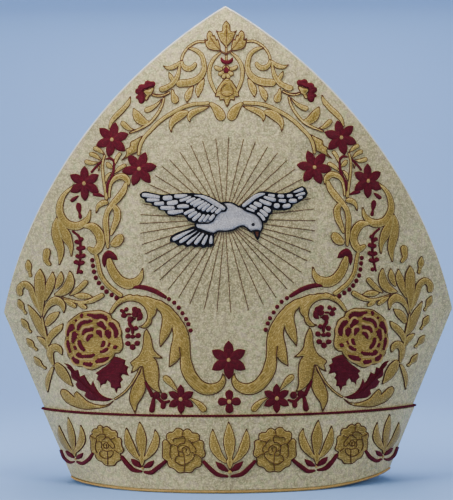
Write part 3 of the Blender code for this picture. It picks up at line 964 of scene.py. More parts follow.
def lappet_run(length):
    """Away from the band, and height, at lengths down a lappet's middle."""
    rest = form().lappet_wall / 2
    drop = LAPPET_TOP - rest - LAPPET_BEND
    turn = np.clip((length - drop) / LAPPET_BEND, 0.0, math.pi / 2)
    flat = np.maximum(length - drop - LAPPET_BEND * math.pi / 2, 0.0)
    away = LAPPET_BEND * (1 - np.cos(turn)) + flat
    height = np.where(length < drop, LAPPET_TOP - length,
                      rest + LAPPET_BEND * (1 - np.sin(turn)))
    return away, height


def make_lappet(name, side):
    """A lappet down the back band and along the surface behind it."""
    cut = form()
    cloth, share, up = add_grid(LAPPET_COLUMNS, LAPPET_ROWS)
    proud = 2 * cut.gap + cut.band_wall + cut.lappet_wall
    lengths = np.linspace(0.0, LAPPET_LENGTH, LAPPET_ROWS + 1)
    away, height = lappet_run(lengths)
    radius = section(LAPPET_TOP)[1]
    start = math.asin(LAPPET_SIDE / radius)
    turned = np.minimum(away / (LAPPET_LENGTH * LAPPET_TURNED), 1.0)
    heading = start + (LAPPET_HEADING_END - start) * turned
    ahead = np.stack([np.sin(heading), np.cos(heading), 0 * heading], axis=-1)
    step = np.concatenate([[0.0], np.diff(away)])
    wall = on_section(np.full(len(height), start), height, proud) * (1, -1, 1)
    on_wall = np.where((away == 0.0)[:, None], wall, 0.0)
    last = int(np.sum(away == 0.0)) - 1
    middle = np.where((away == 0.0)[:, None], on_wall,
                      wall[last] + np.cumsum(ahead * step[:, None], axis=0))
    middle[:, 2] = height
    run = unit(np.gradient(np.stack([away, height], axis=-1), axis=0))
    normal = ahead * -run[:, 1:] + np.array([0.0, 0.0, 1.0]) * run[:, :1]
    across = np.stack([ahead[:, 1], -ahead[:, 0], 0 * heading], axis=-1)
    hug = np.maximum(1.0 - away / LAPPET_BEND, 0.0)
    row = np.rint(up * LAPPET_ROWS).astype(int)
    width = LAPPET_WIDTH_TOP + (LAPPET_WIDTH_END - LAPPET_WIDTH_TOP) * up
    offset = width * share / 2
    sag = offset ** 2 / (2 * radius) * hug[row]
    points = (middle[row] + across[row] * offset[:, None] - ahead[row] * sag[:, None]
              + normal[row] * cut.lappet_wall / 2)
    points[:, 0] *= side
    place(cloth, points, np.stack([offset, lengths[row]], axis=-1))
    if side > 0:
        on_all_faces(bpy.ops.mesh.flip_normals)
    thicken(cloth, cut.lappet_wall)
    soften()
    piece = hand_over(name + "_cloth", finishes()["cream damask"], [name])


# ---------------------------------------------------------------- drawing stitched shapes

ROUND = 3.0                    # how square the dome of padded satin stitch is
DOME_SHARES = np.array([0.0, 0.05, 0.2, 0.5, 0.8, 0.95, 1.0])
STEEP = 0.36                   # a stroke rises no more than this share of its width
STEP = 1.15                    # pixels between the stations of a stroke
POINTED = 0.3                  # width of a stroke's sharp end, in pixels
BLUNT = 1.3                    # an end that is wider than this is rounded
ROUNDED = np.array([0.12, 0.35, 0.65, 1.0])
LEAST_END = 0.04               # the square of a rounded end's least width, as a share
SHARP = math.radians(52.0)     # an outline keeps a corner that turns more than this
PATCH_STEP = 0.00105
PATCH_REACH = 0.0014           # how far in from its edge a patch reaches its full height
LAYER_STEP = 0.00004           # later strokes lie a little over earlier ones
LAYERS = 9
VEIN_LIFT = 0.00022
EDGE_SIDES = 4
EDGE_SUNK = 0.4                # an edging's centre stands this share of its radius proud
OFF_EDGE = 0.55                # a patch's filling keeps off its edge, as a share of its spacing
JOINED = 1e-7                  # points of a patch this close together are one
BEAD_SHARES = (1.0, 0.94, 0.72, 0.38)
BEAD_SIDES = 10
BEAD_FLAT = 0.999              # a bead's edge stands a little above the cloth
BEAD_RISE = 0.8                # a small bead's height, as a share of its radius
EDGED_BEAD = 2.4               # larger beads, in pixels, have an edging


def dome(share):
    """Height of a padded dome, at a share of the way up from its edge to its middle."""
    return (1 - (1 - np.clip(share, 0.0, 1.0)) ** ROUND) ** (1 / ROUND)


def curve(t, start, leave, end, arrive):
    """A smooth step from start to end, with the ways in which it leaves and arrives."""
    return ((1 + 2 * t) * (1 - t) ** 2 * start + t * (1 - t) ** 2 * leave
            + t * t * (3 - 2 * t) * end + t * t * (t - 1) * arrive)


def eased(rows, run, at):
    """A smooth curve through rows of numbers, at lengths along their run."""
    slopes = np.gradient(rows, run, axis=0)
    spot = np.clip(np.searchsorted(run, at, side="right") - 1, 0, len(run) - 2)
    gap = np.diff(run)[spot][:, None]
    t = (at[:, None] - run[spot][:, None]) / gap
    return curve(t, rows[spot], gap * slopes[spot], rows[spot + 1], gap * slopes[spot + 1])


def stroke_edges(rows, scale):
    """Both edges of a stroke whose rows hold a place and a width, and its stations."""
    rows = np.asarray(rows, float)
    run = travelled(rows[:, :2])
    first, last = rows[0, 2] / 2, rows[-1, 2] / 2
    even = np.linspace(0.0, run[-1], max(int(run[-1] / (STEP * scale)), 4) + 1)
    at = np.concatenate([even, first * ROUNDED, run[-1] - last * ROUNDED])
    at = np.unique(np.clip(at, 0.0, run[-1]).round(6))
    drawn = eased(rows, run, at)
    ahead = unit(np.gradient(drawn[:, :2], at, axis=0))
    half = np.maximum(drawn[:, 2], POINTED * scale) / 2
    for off, end in ((at, first), (at[-1] - at, last)):
        if 2 * end > BLUNT * scale:
            deep = np.clip(1 - off / end, 0.0, 1.0)
            half = half * np.sqrt(np.maximum(1 - deep ** 2, LEAST_END))
    aside = np.stack([-ahead[:, 1], ahead[:, 0]], axis=-1) * half[:, None]
    return drawn[:, :2] + aside, drawn[:, :2] - aside, at


def drawn_outline(corners, step):
    """A closed outline, smooth but where it turns sharply."""
    points = np.asarray(corners, float)
    going = np.roll(points, -1, axis=0) - points
    coming = np.roll(going, 1, axis=0)
    size = np.linalg.norm(going, axis=-1, keepdims=True)
    before = np.roll(size, 1, axis=0)
    way = unit(coming / before * size + going / size * before)
    soft = np.sum(unit(coming) * unit(going), axis=-1) > math.cos(SHARP)
    drawn = []
    for here in range(len(points)):
        there = (here + 1) % len(points)
        reach = size[here]
        leave = way[here] * reach if soft[here] else going[here]
        arrive = way[there] * reach if soft[there] else going[here]
        count = max(int(math.ceil(reach[0] / step)), 1)
        t = (np.arange(count) / count)[:, None]
        drawn.append(curve(t, points[here], leave, points[there], arrive))
    return np.concatenate(drawn)


def off_edge(points, outline):
    """Distance of each point from an outline, and whether it lies inside."""
    start, run = outline, np.roll(outline, -1, axis=0) - outline
    off = points[:, None] - start
    share = np.sum(off * run, axis=-1) / np.maximum(np.sum(run * run, axis=-1), 1e-18)
    near = np.linalg.norm(off - np.clip(share, 0.0, 1.0)[..., None] * run, axis=-1)
    ends = start + run
    crosses = (start[:, 1] > points[:, 1:]) != (ends[:, 1] > points[:, 1:])
    with np.errstate(divide="ignore", invalid="ignore"):
        meets = start[:, 0] + (points[:, 1:] - start[:, 1]) * run[:, 0] / run[:, 1]
    inside = np.sum(crosses & (points[:, :1] < meets), axis=-1) % 2 == 1
    return near.min(axis=-1), inside


def filling(outline, spacing):
    """A triangular grid of points inside an outline that keeps off its edge."""
    low, high = outline.min(axis=0), outline.max(axis=0)
    rows = np.arange(low[1], high[1], spacing * math.sqrt(0.75))
    columns = np.arange(low[0], high[0], spacing)
    x, y = np.meshgrid(columns, rows)
    x = x + (np.arange(len(rows)) % 2)[:, None] * spacing / 2
    grid = np.stack([x.ravel(), y.ravel()], axis=-1)
    near, inside = off_edge(grid, outline)
    return grid[inside & (near > spacing * OFF_EDGE)]


def seen_at(x, y, proud=0.0):
    """Along and height of one place that is seen at a pixel."""
    return from_photo(np.array([[x, y]], float), proud)[0]


PETAL = ((0.05, 0.26), (0.26, 0.42), (0.53, 0.55), (0.80, 0.40), (1.0, 0.05))
BLUNT_PETAL = ((0.05, 0.30), (0.28, 0.52), (0.58, 0.74), (0.82, 0.66), (1.0, 0.40))


def whole(half, axis):
    """A chart's left half, from the centre line round to the centre line, and its mirror."""
    mirrored = [(2 * axis - place[0], *place[1:]) for place in half[::-1]]
    return list(half) + [place for place in mirrored if abs(place[0] - axis) > 0.01]


CLOSER_FROM = 0.078            # farther out than this, the work on the right sits closer in
CLOSER_SHARE = 0.08            # by this share of what is farther out


def drawn_in(points):
    """Points of the mirror side, whose outer work sits closer in than on the drawn side."""
    points = points.copy()
    points[:, 0] -= np.sign(points[:, 0]) * CLOSER_SHARE * np.maximum(
        np.abs(points[:, 0]) - CLOSER_FROM, 0.0)
    return points


DRAWN, MIRRORED, BOTH = (1,), (-1,), (1, -1)      # the sides on which a chart is stitched


class Stitches:
    """Shapes in one thread, drawn flat on the cloth and gathered into one piece.

    Charted shapes are in the photo's pixels; a stroke may be flat, in metres on the cloth.
    The edging is the set of stitches that takes their outlines.
    """

    def __init__(self, edging=None, proud=0.0, lift=0.0):
        self.edging, self.proud, self.lift = edging, proud, lift
        self.parts = []

    def layer(self):
        return self.lift + LAYER_STEP * (len(self.parts) % LAYERS)

    def line(self, path, radius, closed=False):
        """A thread along a flat path with heights."""
        up = np.array([0.0, 0.0, 1.0])
        self.parts.append(thread(path, radius, up, EDGE_SIDES, closed))

    def outline(self, edge, rise):
        if self.edging:
            radius = self.edging.radius
            path = np.column_stack([edge, np.full(len(edge), rise + radius * EDGE_SUNK)])
            self.edging.line(path, radius, closed=True)

    def stroke(self, rows, flat=False, rise=None):
        """Padded satin stitch along rows of a place and a width."""
        stitches = threads()
        left, right, at = stroke_edges(rows, PIXEL if flat else 1.0)
        if not flat:
            left, right = from_photo(right, self.proud), from_photo(left, self.proud)
            at = at * PIXEL
        width = np.linalg.norm(left - right, axis=-1)[:, None]
        rise = np.minimum(rise or stitches.rise, STEEP * width)
        share = DOME_SHARES[None, :, None]
        spots = left[:, None] * (1 - share) + right[:, None] * share
        layer = self.layer()
        height = rise * dome(1 - np.abs(2 * DOME_SHARES - 1)) + layer
        height[:, [0, -1]] = -stitches.seat
        points = np.concatenate([spots, height[..., None]], axis=-1).reshape(-1, 3)
        inwards = np.minimum(DOME_SHARES, 1 - DOME_SHARES) * width
        marks = np.stack([np.broadcast_to(at[:, None], inwards.shape), inwards], axis=-1)
        faces = ring_faces(len(at), len(DOME_SHARES), closed=False)
        self.parts.append((points, marks.reshape(-1, 2), faces))
        self.outline(np.concatenate([left, right[::-1]]), layer)

    def strokes(self, chart):
        for rows in chart.values():
            self.stroke(rows)

    def patch(self, corners, grain=90.0, reach=PATCH_REACH, rise=None):
        """A filled shape, padded within its outline; its stitches run across the grain."""
        stitches = threads()
        edge = from_photo(drawn_outline(corners, STEP), self.proud)
        spots = [Vector(spot) for spot in np.concatenate([edge, filling(edge, PATCH_STEP)])]
        found = delaunay_2d_cdt(spots, [], [range(len(edge))], 1, JOINED)
        flat_points = np.array([tuple(spot) for spot in found[0]])
        tops = [list(face) for face in found[2]]
        count = len(flat_points)
        layer = self.layer()
        inwards = off_edge(flat_points, edge)[0]
        height = (rise or stitches.rise) * dome(inwards / reach) + layer
        points = np.column_stack([flat_points, height])
        under = np.column_stack([flat_points, np.full(count, -stitches.seat)])
        sides = {pair: True for face in tops for pair in zip(face, face[1:] + face[:1])}
        walls = [[here, here + count, there + count, there] for here, there in sides
                 if (there, here) not in sides]
        bottoms = [[corner + count for corner in face[::-1]] for face in tops]
        turn = math.radians(grain)
        middle = flat_points - flat_points.mean(axis=0)
        marks = np.column_stack([middle @ (math.cos(turn), math.sin(turn)), inwards])
        self.parts.append((np.concatenate([points, under]), np.concatenate([marks, marks]),
                           tops + walls + bottoms))
        self.outline(edge, layer)

    def bead(self, x, y, radius, rise=None):
        """A small round knot."""
        stitches = threads()
        centre = seen_at(x, y, self.proud)
        radius = radius * PIXEL
        rise = rise or min(stitches.rise, radius * BEAD_RISE)
        layer = self.layer()
        angle = np.arange(BEAD_SIDES) / BEAD_SIDES * TURN
        way = np.stack([np.cos(angle), np.sin(angle)], axis=-1)
        rings = [np.column_stack([centre + way * radius, np.full(BEAD_SIDES, -stitches.seat)])]
        for share in BEAD_SHARES:
            top = rise * math.sqrt(1 - share * share * BEAD_FLAT) + layer
            rings.append(np.column_stack([centre + way * radius * share,
                                          np.full(BEAD_SIDES, top)]))
        points = np.concatenate(rings)
        faces = ring_faces(len(rings), BEAD_SIDES, closed=False)
        off = points[:, :2] - centre
        marks = np.column_stack([off[:, 0], radius - np.linalg.norm(off, axis=-1)])
        self.parts.append((points, marks, faces))
        if radius > EDGED_BEAD * PIXEL:
            self.outline(centre + way * radius, layer)

    def beads(self, places):
        for place_and_radius in places:
            self.bead(*place_and_radius)

    def flower(self, centre, radius, petals, start, shape=PETAL):
        """Petals round a place that is seen at a pixel."""
        heart = seen_at(*centre, self.proud)
        reach = radius * PIXEL
        for petal in range(petals):
            turn = math.radians(start) + petal / petals * TURN
            way = np.array([math.cos(turn), math.sin(turn)])
            rows = [(*(heart + way * reach * share), reach * width) for share, width in shape]
            self.stroke(rows, flat=True)

    def make(self, name, finish, stands_for=(), sides=DRAWN, slotted=True):
        """Lays the shapes on the cloth, on the drawn side, its mirror side, or both."""
        points, marks, faces = gather(self.parts)
        laid = []
        for side in sides:
            turned = faces if side > 0 else [face[::-1] for face in faces]
            spots = points * (side, 1, 1)
            if side < 0 and not self.proud:
                spots = drawn_in(spots)
            laid.append((lay(spots, proud=self.proud), marks, turned))
        add_mesh(*gather(laid))
        return hand_over(name, finishes()[finish], list(stands_for))


class Edging(Stitches):
    """Threads that edge other stitches."""

    def __init__(self, radius, proud=0.0):
        super().__init__(proud=proud)
        self.radius = radius

    def vein(self, places, rise=None, radius=None):
        """An open thread over a shape, through places that are seen at pixels."""
        rows = np.asarray(places, float)
        run = travelled(rows)
        at = np.linspace(0.0, run[-1], max(int(run[-1] / (2 * STEP)), 3) + 1)
        flat = from_photo(eased(rows, run, at), self.proud)
        over = threads().rise + VEIN_LIFT if rise is None else rise
        self.line(np.column_stack([flat, np.full(len(flat), over)]), radius or self.radius)


# ---------------------------------------------------------------- charts
# Strokes are rows of across, down and width, in the photo's pixels.  The left half is charted
# and its mirror is stitched on the right.  Patches are outlines; beads are places and radii.

TOP_STROKES = {
    "scroll stem": [(205, 41.8, 2), (197.7, 41.8, 2.2), (191.8, 44.5, 2.2), (185.8, 50, 2.2),
        (182.3, 56.4, 2.2), (181.5, 60.7, 2.2)],
    "comma": [(187.4, 48.2, 0.8), (192.4, 49, 2.8), (197, 51, 3.8), (201.5, 55.3, 4.2),
        (203.7, 61.8, 4.4), (204.2, 69.4, 4.8), (202, 74.8, 5.6), (196.6, 80, 6.8), (188, 83, 7.4),
        (179.3, 83.8, 7), (176.5, 84.5, 6.2)],
    "inner curl": [(181.7, 60.5, 2), (182.6, 65, 3.6), (186, 68.3, 5), (190.6, 68.6, 5),
        (194.3, 65.8, 4), (195.8, 62.7, 2.6)],
    "left leaf": [(163.6, 66, 0.4), (168, 68.1, 3.2), (174, 67, 4.6), (179, 63.4, 3),
        (181, 61, 1.5)],
    "down stem": [(180, 63.5, 2), (179, 70.2, 2.8), (177.3, 76.8, 4.2), (173.3, 83.2, 5),
        (167.8, 87.2, 5.2), (163, 89.2, 5.4), (159.4, 89.4, 4.4)],
    "thorn": [(169, 72.4, 0.4), (171, 77, 4), (174, 81.5, 3)],
    "thin stem": [(170, 92.2, 1.8), (164, 95, 1.8), (156.5, 96, 1.8), (152, 94.6, 1.8)],
    "drop": [(172.3, 89.5, 1.6), (173.2, 94.5, 3.8), (174.8, 98.8, 7), (176, 103.4, 6)],
    "leaf over the arch": [(193.3, 86.2, 1), (190, 91.5, 5.4), (187.6, 97, 6), (187, 102.2, 0.4)],
    "inner leaf": [(204, 78.8, 0.8), (201.5, 84, 5), (198.5, 91, 6.2), (198, 97.4, 0.4)],
    "oval ring": [(221, 52.4, 1.5), (215.1, 57.5, 2.8), (211, 64, 3.4), (209.3, 71.6, 3.4),
        (210.2, 79.7, 3.2), (213.5, 88, 3), (216.4, 93.8, 2)],
    "yoke": [(226.3, 54.5, 1.2), (220.6, 51, 1.2), (217.4, 48.8, 1)],
    "bud leaf, low": [(214.4, 66.4, 2.4), (217.8, 68.7, 4), (222.6, 69.4, 2.6)],
    "bud leaf, lower": [(218.7, 75.2, 3.2), (220.6, 74, 4), (224, 71.6, 1.8)],
    "bud leaf, last": [(222.8, 78.6, 3), (223.8, 76.6, 3.8), (225.6, 73, 1.6)],
    "brow": [(222.4, 69.4, 1.4), (224.4, 66.8, 2), (226.2, 64.9, 1)],
}
TOP_STEM = [(226.2, 44, 1.8), (226.3, 61, 2)]
TIP_LEAF = [(226.3, 20.7), (222.9, 25.5), (222.4, 31), (219.6, 32), (215.9, 30.4), (217.6, 33.8),
    (218.8, 37), (220.6, 40.8), (223, 43.8), (225.2, 46.4), (226.3, 48)]
TIP_AXIS = 226.3
HEART_LEAF = [(227.1, 77.9), (223.7, 80), (219.8, 84.8), (217.4, 88.7), (215.8, 93.1), (215, 96.3),
    (219.4, 96.7), (219.8, 100.2), (223.7, 99.4), (225.3, 103.8), (227.1, 107)]
HEART_AXIS = 227.1
HEART_LINE = [(227.1, 83.6), (223.6, 85.4), (221.2, 89.5), (221.2, 93.4), (223.6, 95.6),
    (227.1, 96.2)]
TIP_VEIN = [(226.3, 25), (226.3, 44)]
TOP_SIDE_LEAF = [(209.6, 30.6), (212.2, 33.4), (212.9, 36.4), (214.4, 34.8), (215.4, 37.4),
    (216, 40.8), (217.8, 38.9), (218.8, 42), (220, 46.4), (220.6, 50.8), (217, 50.8), (212.6, 50.2),
    (208.4, 48.6), (206, 45.6), (205.4, 42.2), (204.6, 38.6), (206.6, 40.2), (207.9, 40.6),
    (206.9, 37), (207.4, 33.4)]
SIDE_LEAF_VEIN = [(210.2, 36.2), (214.4, 43.9), (219.7, 49.6)]
TOP_BUDS = {
    "cup": [(221.2, 57.4, 1.6), (222, 60.2, 3.6), (224.2, 62, 4.2), (226.8, 62.5, 4),
        (229.4, 62, 4.2), (231.6, 60.2, 3.6), (232.4, 57.4, 1.6)],
    "drop": [(226.7, 65.6, 0.5), (226.6, 68.4, 4.2), (226.6, 70.6, 6.2), (226.8, 73.4, 4.4)],
}

ARCH_STROKES = {
    "blob": [(209.8, 103.1, 2.5), (214.3, 106.8, 6), (218.7, 112.3, 9.5), (220.7, 116.2, 9.5),
        (221.7, 120.7, 8)],
    "arch stem": [(209.3, 103, 3), (203.4, 103.7, 3.3), (193.5, 104.4, 3.5), (183.6, 107.3, 3.6),
        (173.7, 112.3, 3.6), (164.8, 117.7, 3.6), (157, 124.1, 3.5), (150, 131.5, 3.4),
        (145.7, 136, 3.2), (140.4, 145.7, 3.2), (138.6, 155.5, 2.4)],
    "first leaf": [(209.3, 106.6, 0.6), (203.4, 108.8, 3.6), (196.5, 111.3, 5.6), (191, 114.7, 6),
        (189.3, 118.7, 3.4), (189.8, 122, 0.4)],
    "second leaf": [(188.6, 112.3, 3), (182.6, 114.2, 7.5), (176.7, 117.7, 8.5),
        (172.7, 122.1, 6.5), (171.1, 126.6, 3.6), (171.3, 132.3, 0.4)],
}
ARCH_SERRATED_LEAF = [(142.6, 136), (136, 139.5), (130.5, 143), (130.1, 146.6), (126.1, 149.3),
    (126.5, 153.8), (121.6, 160.4), (128, 157), (132.5, 154.6), (137, 152.4), (138.4, 145.5)]

CARNATION = [(150, 81), (147.9, 80.1), (145.1, 81.7), (144.2, 84.1), (140.9, 84.1), (138.1, 85.9),
    (137.8, 88.1), (135.7, 89.3), (135, 91.8), (136.3, 93.9), (137.8, 94.8), (135.7, 96.7),
    (135.7, 98.5), (137.8, 99.7), (138.4, 102.2), (140.2, 103.7), (142.4, 103.7), (144.5, 101.9),
    (145.1, 99.1), (145.1, 96.7), (144.5, 93.9), (143.3, 91.8), (144.2, 89.9), (147.6, 89),
    (150.3, 87.8), (154, 86.9), (155.5, 84.7), (154.9, 82), (153.1, 80.9), (151.3, 81.3)]
CARNATION_CUP = [(143.6, 91.4), (145.1, 90.2), (147.6, 89.6), (150, 89), (152.5, 87.5),
    (154.3, 87.5), (154, 89.9), (152.5, 92.4), (151.9, 94.2), (149.4, 96.3), (147, 100),
    (145.4, 100.3), (145.1, 97.9), (146.4, 95.4), (144.8, 93.6)]
UPPER_GOLD = {
    "carnation's stem": [(152, 94.4, 2), (158.6, 95.5, 2.3), (163.2, 95.3, 2.3), (169.9, 92.1, 2)],
    "long leaf": [(130.5, 96.6, 0.3), (128.8, 102, 3.4), (122.5, 110, 4.6), (115.4, 117.1, 5),
        (111.3, 122.5, 3.4), (109.6, 128.8, 1.2)],
    "broad leaf": [(133.5, 108.4, 0.5), (136.2, 114, 7), (140, 119.5, 9), (145, 122.3, 6.5),
        (150, 122, 0.8)],
    "small leaf": [(121.6, 121.8, 4), (125.5, 126, 5), (130, 129.2, 3.2), (134.3, 129.8, 0.6)],
    "drop": [(144.6, 110.8, 4.5), (149, 109.4, 5), (155, 106, 3.2), (161.8, 99.3, 0.8)],
    "bough": [(164, 97.5, 1.8), (162.2, 104.6, 2.2), (157, 114.5, 2.4), (149.3, 123.4, 2.4),
        (138.6, 129.6, 2.2), (129.6, 133.2, 1.4)],
    "sprig leaf, top": [(93.5, 147.8, 3.6), (98, 149.6, 4.2), (104, 154, 1.2)],
    "sprig leaf, middle": [(89.7, 153.6, 3.8), (95, 155.6, 4), (101.3, 160, 1.2)],
    "sprig leaf, low": [(85.2, 161.2, 4), (91, 163.2, 4), (98.5, 162.6, 1)],
    "hidden leaf": [(106.8, 162.5, 2.5), (110, 166.4, 4.4), (113.2, 168.4, 1)],
    "long stem": [(105, 154.6, 2), (103, 162.7, 2.2), (103.3, 174.3, 2.4), (105.1, 186.8, 2.6),
        (107, 200, 3)],
    "right leaf, top": [(120.7, 153, 3), (117.1, 158.2, 3.4), (114.6, 165.4, 1)],
    "right leaf, low": [(126, 165, 3.4), (119.8, 168.5, 3.8), (114.5, 173.4, 1)],
    "right leaf, last": [(111.3, 172.5, 1.5), (107.3, 177, 3), (106, 183.2, 0.8)],
    "thorn": [(99.3, 166.2, 2.2), (99, 170.7, 0.6)],
}
UPPER_BURGUNDY = {
    "left sprig": [(91, 173, 2.6), (96.5, 166.5, 2.6), (102, 161.2, 2.6)],
    "right sprig": [(105.5, 159.4, 1.5), (110, 158.4, 3), (113.7, 161.2, 2.6), (114, 167, 2.6),
        (112.5, 176, 3.4), (108.7, 184.5, 4), (107, 194, 2.5)],
    "leaf by the stem": [(92.6, 194, 3.6), (98.4, 194.8, 4.4), (105, 197, 1.4)],
    "leaf at the crescent": [(78.3, 195.6, 1.5), (74.5, 198.5, 4), (70.4, 201.6, 3.6)],
}

FLOWERS = {
    # place, radius and the first petal's turn in degrees, for the left flowers
    "flower_left_1": ((112.2, 139.7), 17.8, 78),
    "flower_left_2": ((139.3, 168.9), 18.0, 68),
    "flower_left_3": ((84.6, 183.5), 17.6, 89),
    "flower_low_left": ((180.9, 399.3), 14.5, 90),
}
PETALS, FOOT_PETALS = 6, 4
KNOT_RADIUS = 2.7
KNOT_RISE = 1.5                # a knot's height, as a share of the satin stitch's
RIM_LIFT = 0.0004
SHADE_LIFT = 0.00072
SHADE_RISE = 0.0003
SHADE_SPREAD = 1.55            # how much wider than charted the shades are stitched
SHADE_PACE = 1.1               # pixels between the long and the short stitches of a shade
LONG_STITCH, SHORT_STITCH = 1.2, 0.72
RIM_SPREAD = 2.3               # width of the pale rim beside a shade, in pixels
RIM_OFF, RIM_ENDS = 0.45, 0.4  # how far off it lies and how wide it ends, as shares of its width
RIM_SHADES = 3                 # a shade with fewer rows than this has no rim
SPRIG_SPREAD = 1.65

CRESCENT_STROKES = {
    "crescent": [(74.6, 184.6, 1), (62.5, 198, 5), (60, 212.6, 7), (68.6, 224.7, 8), (78.3, 226, 8),
        (88, 218.6, 5), (90.4, 210, 1)],
    "hanging leaf, left": [(57.6, 216.2, 0.5), (55.8, 227, 7), (57.6, 239.3, 9.5), (60.7, 251.4, 7),
        (59.5, 264.8, 0.8)],
    "hanging leaf, right": [(59, 217.4, 2), (62, 227, 7), (66.8, 237, 10), (71, 246.6, 5),
        (71.6, 256.3, 0.8)],
    "second comma": [(83, 226, 2), (93, 227, 8), (100, 235.6, 9), (100.8, 244, 8), (95.3, 251.4, 7),
        (88, 247.8, 3)],
    "hook": [(96.4, 213, 0.5), (98.5, 206.5, 4), (103, 203.2, 5.4), (108.5, 202.6, 4)],
    "loop": [(109.5, 198, 2), (110, 190, 2.4), (112, 182.5, 3.4), (117, 177.6, 5.4),
        (123, 176.6, 6.2), (127.6, 180.6, 5.4), (128.8, 186, 1)],
    "right lobe": [(112.2, 203.7, 3), (117.3, 210.8, 6), (117.3, 219, 6.4), (114.3, 227.1, 5),
        (111.2, 235.3, 2)],
    "crossing stem": [(126.5, 182.5, 3), (124, 190, 5.6), (118.5, 198, 6.4), (112.5, 205, 5.4),
        (108, 212, 4.8), (106.1, 221, 5.4), (107.1, 233.3, 5), (108.2, 248.6, 1.8)],
    "round leaf": [(111, 245, 3), (115, 243.5, 8), (119.5, 239, 9), (121.5, 234.5, 5.5)],
    "thin stem": [(95.5, 252, 3), (98, 261.8, 3.6), (101, 275.1, 4), (107.1, 284.3, 4),
        (115.3, 291.4, 4), (122.4, 296.5, 4)],
    "lower comma": [(109, 258, 3.5), (110.5, 265, 7.6), (114.2, 273.5, 9), (120, 280.5, 9.6),
        (128, 284, 10), (135.5, 282.4, 9), (140.6, 277, 5.5), (142.6, 268.5, 0.6)],
}
CRESCENT_BURGUNDY = {
    "bud": [(78, 202.5, 3), (78.3, 206, 5.6), (78.9, 210, 4.6), (79.5, 213, 2.4), (80.2, 216.6, 4),
        (80.6, 219, 2.5)],
    "berry stem": [(72.2, 230.8, 2.4), (79.6, 237.5, 2.8), (80.5, 248, 2.8), (80.1, 261.8, 2.4),
        (77.5, 274.3, 2.2)],
}
LOW_BUD = [(108.3, 250.4), (112.5, 251.6), (116, 254.8), (118.2, 260.2), (113.5, 260), (110, 258.4),
    (107, 262), (105, 268.2), (102.6, 264), (102, 258.5), (103.6, 254), (106, 251.4)]
BERRIES = [(83.4, 238, 2.5), (74.9, 241, 2.5), (76.6, 247.4, 2.5), (85.6, 247, 2.5),
    (75.8, 255.1, 2.5), (85.8, 254.9, 2.5), (74.2, 261.4, 2.5), (84.6, 261.8, 2.5),
    (82.6, 270.6, 2.8)]
BERRY_STEM = 80.0              # where the berries' stalks leave their stem
STALK_FOOT, STALK_START = 3.4, 2.4     # how far below its berry it leaves, and its width there
STALK_BEND, STALK_SPREAD = 1.2, 1.8    # the same halfway, and its width by the berry's radius
BERRY_SPREAD = 2.4
BEAD_SPREAD = 1.15             # how much larger than charted the knots are stitched
PEARLS = [(92.3, 260.3, 2.2), (93, 265.8, 2.2), (94, 271.8, 2.2), (95.6, 277.8, 2.2),
    (98.7, 283.1, 2.2), (102.3, 287.8, 2.2), (106.5, 291.6, 2.2), (111.6, 295, 2.2),
    (116.5, 298, 2.2)]

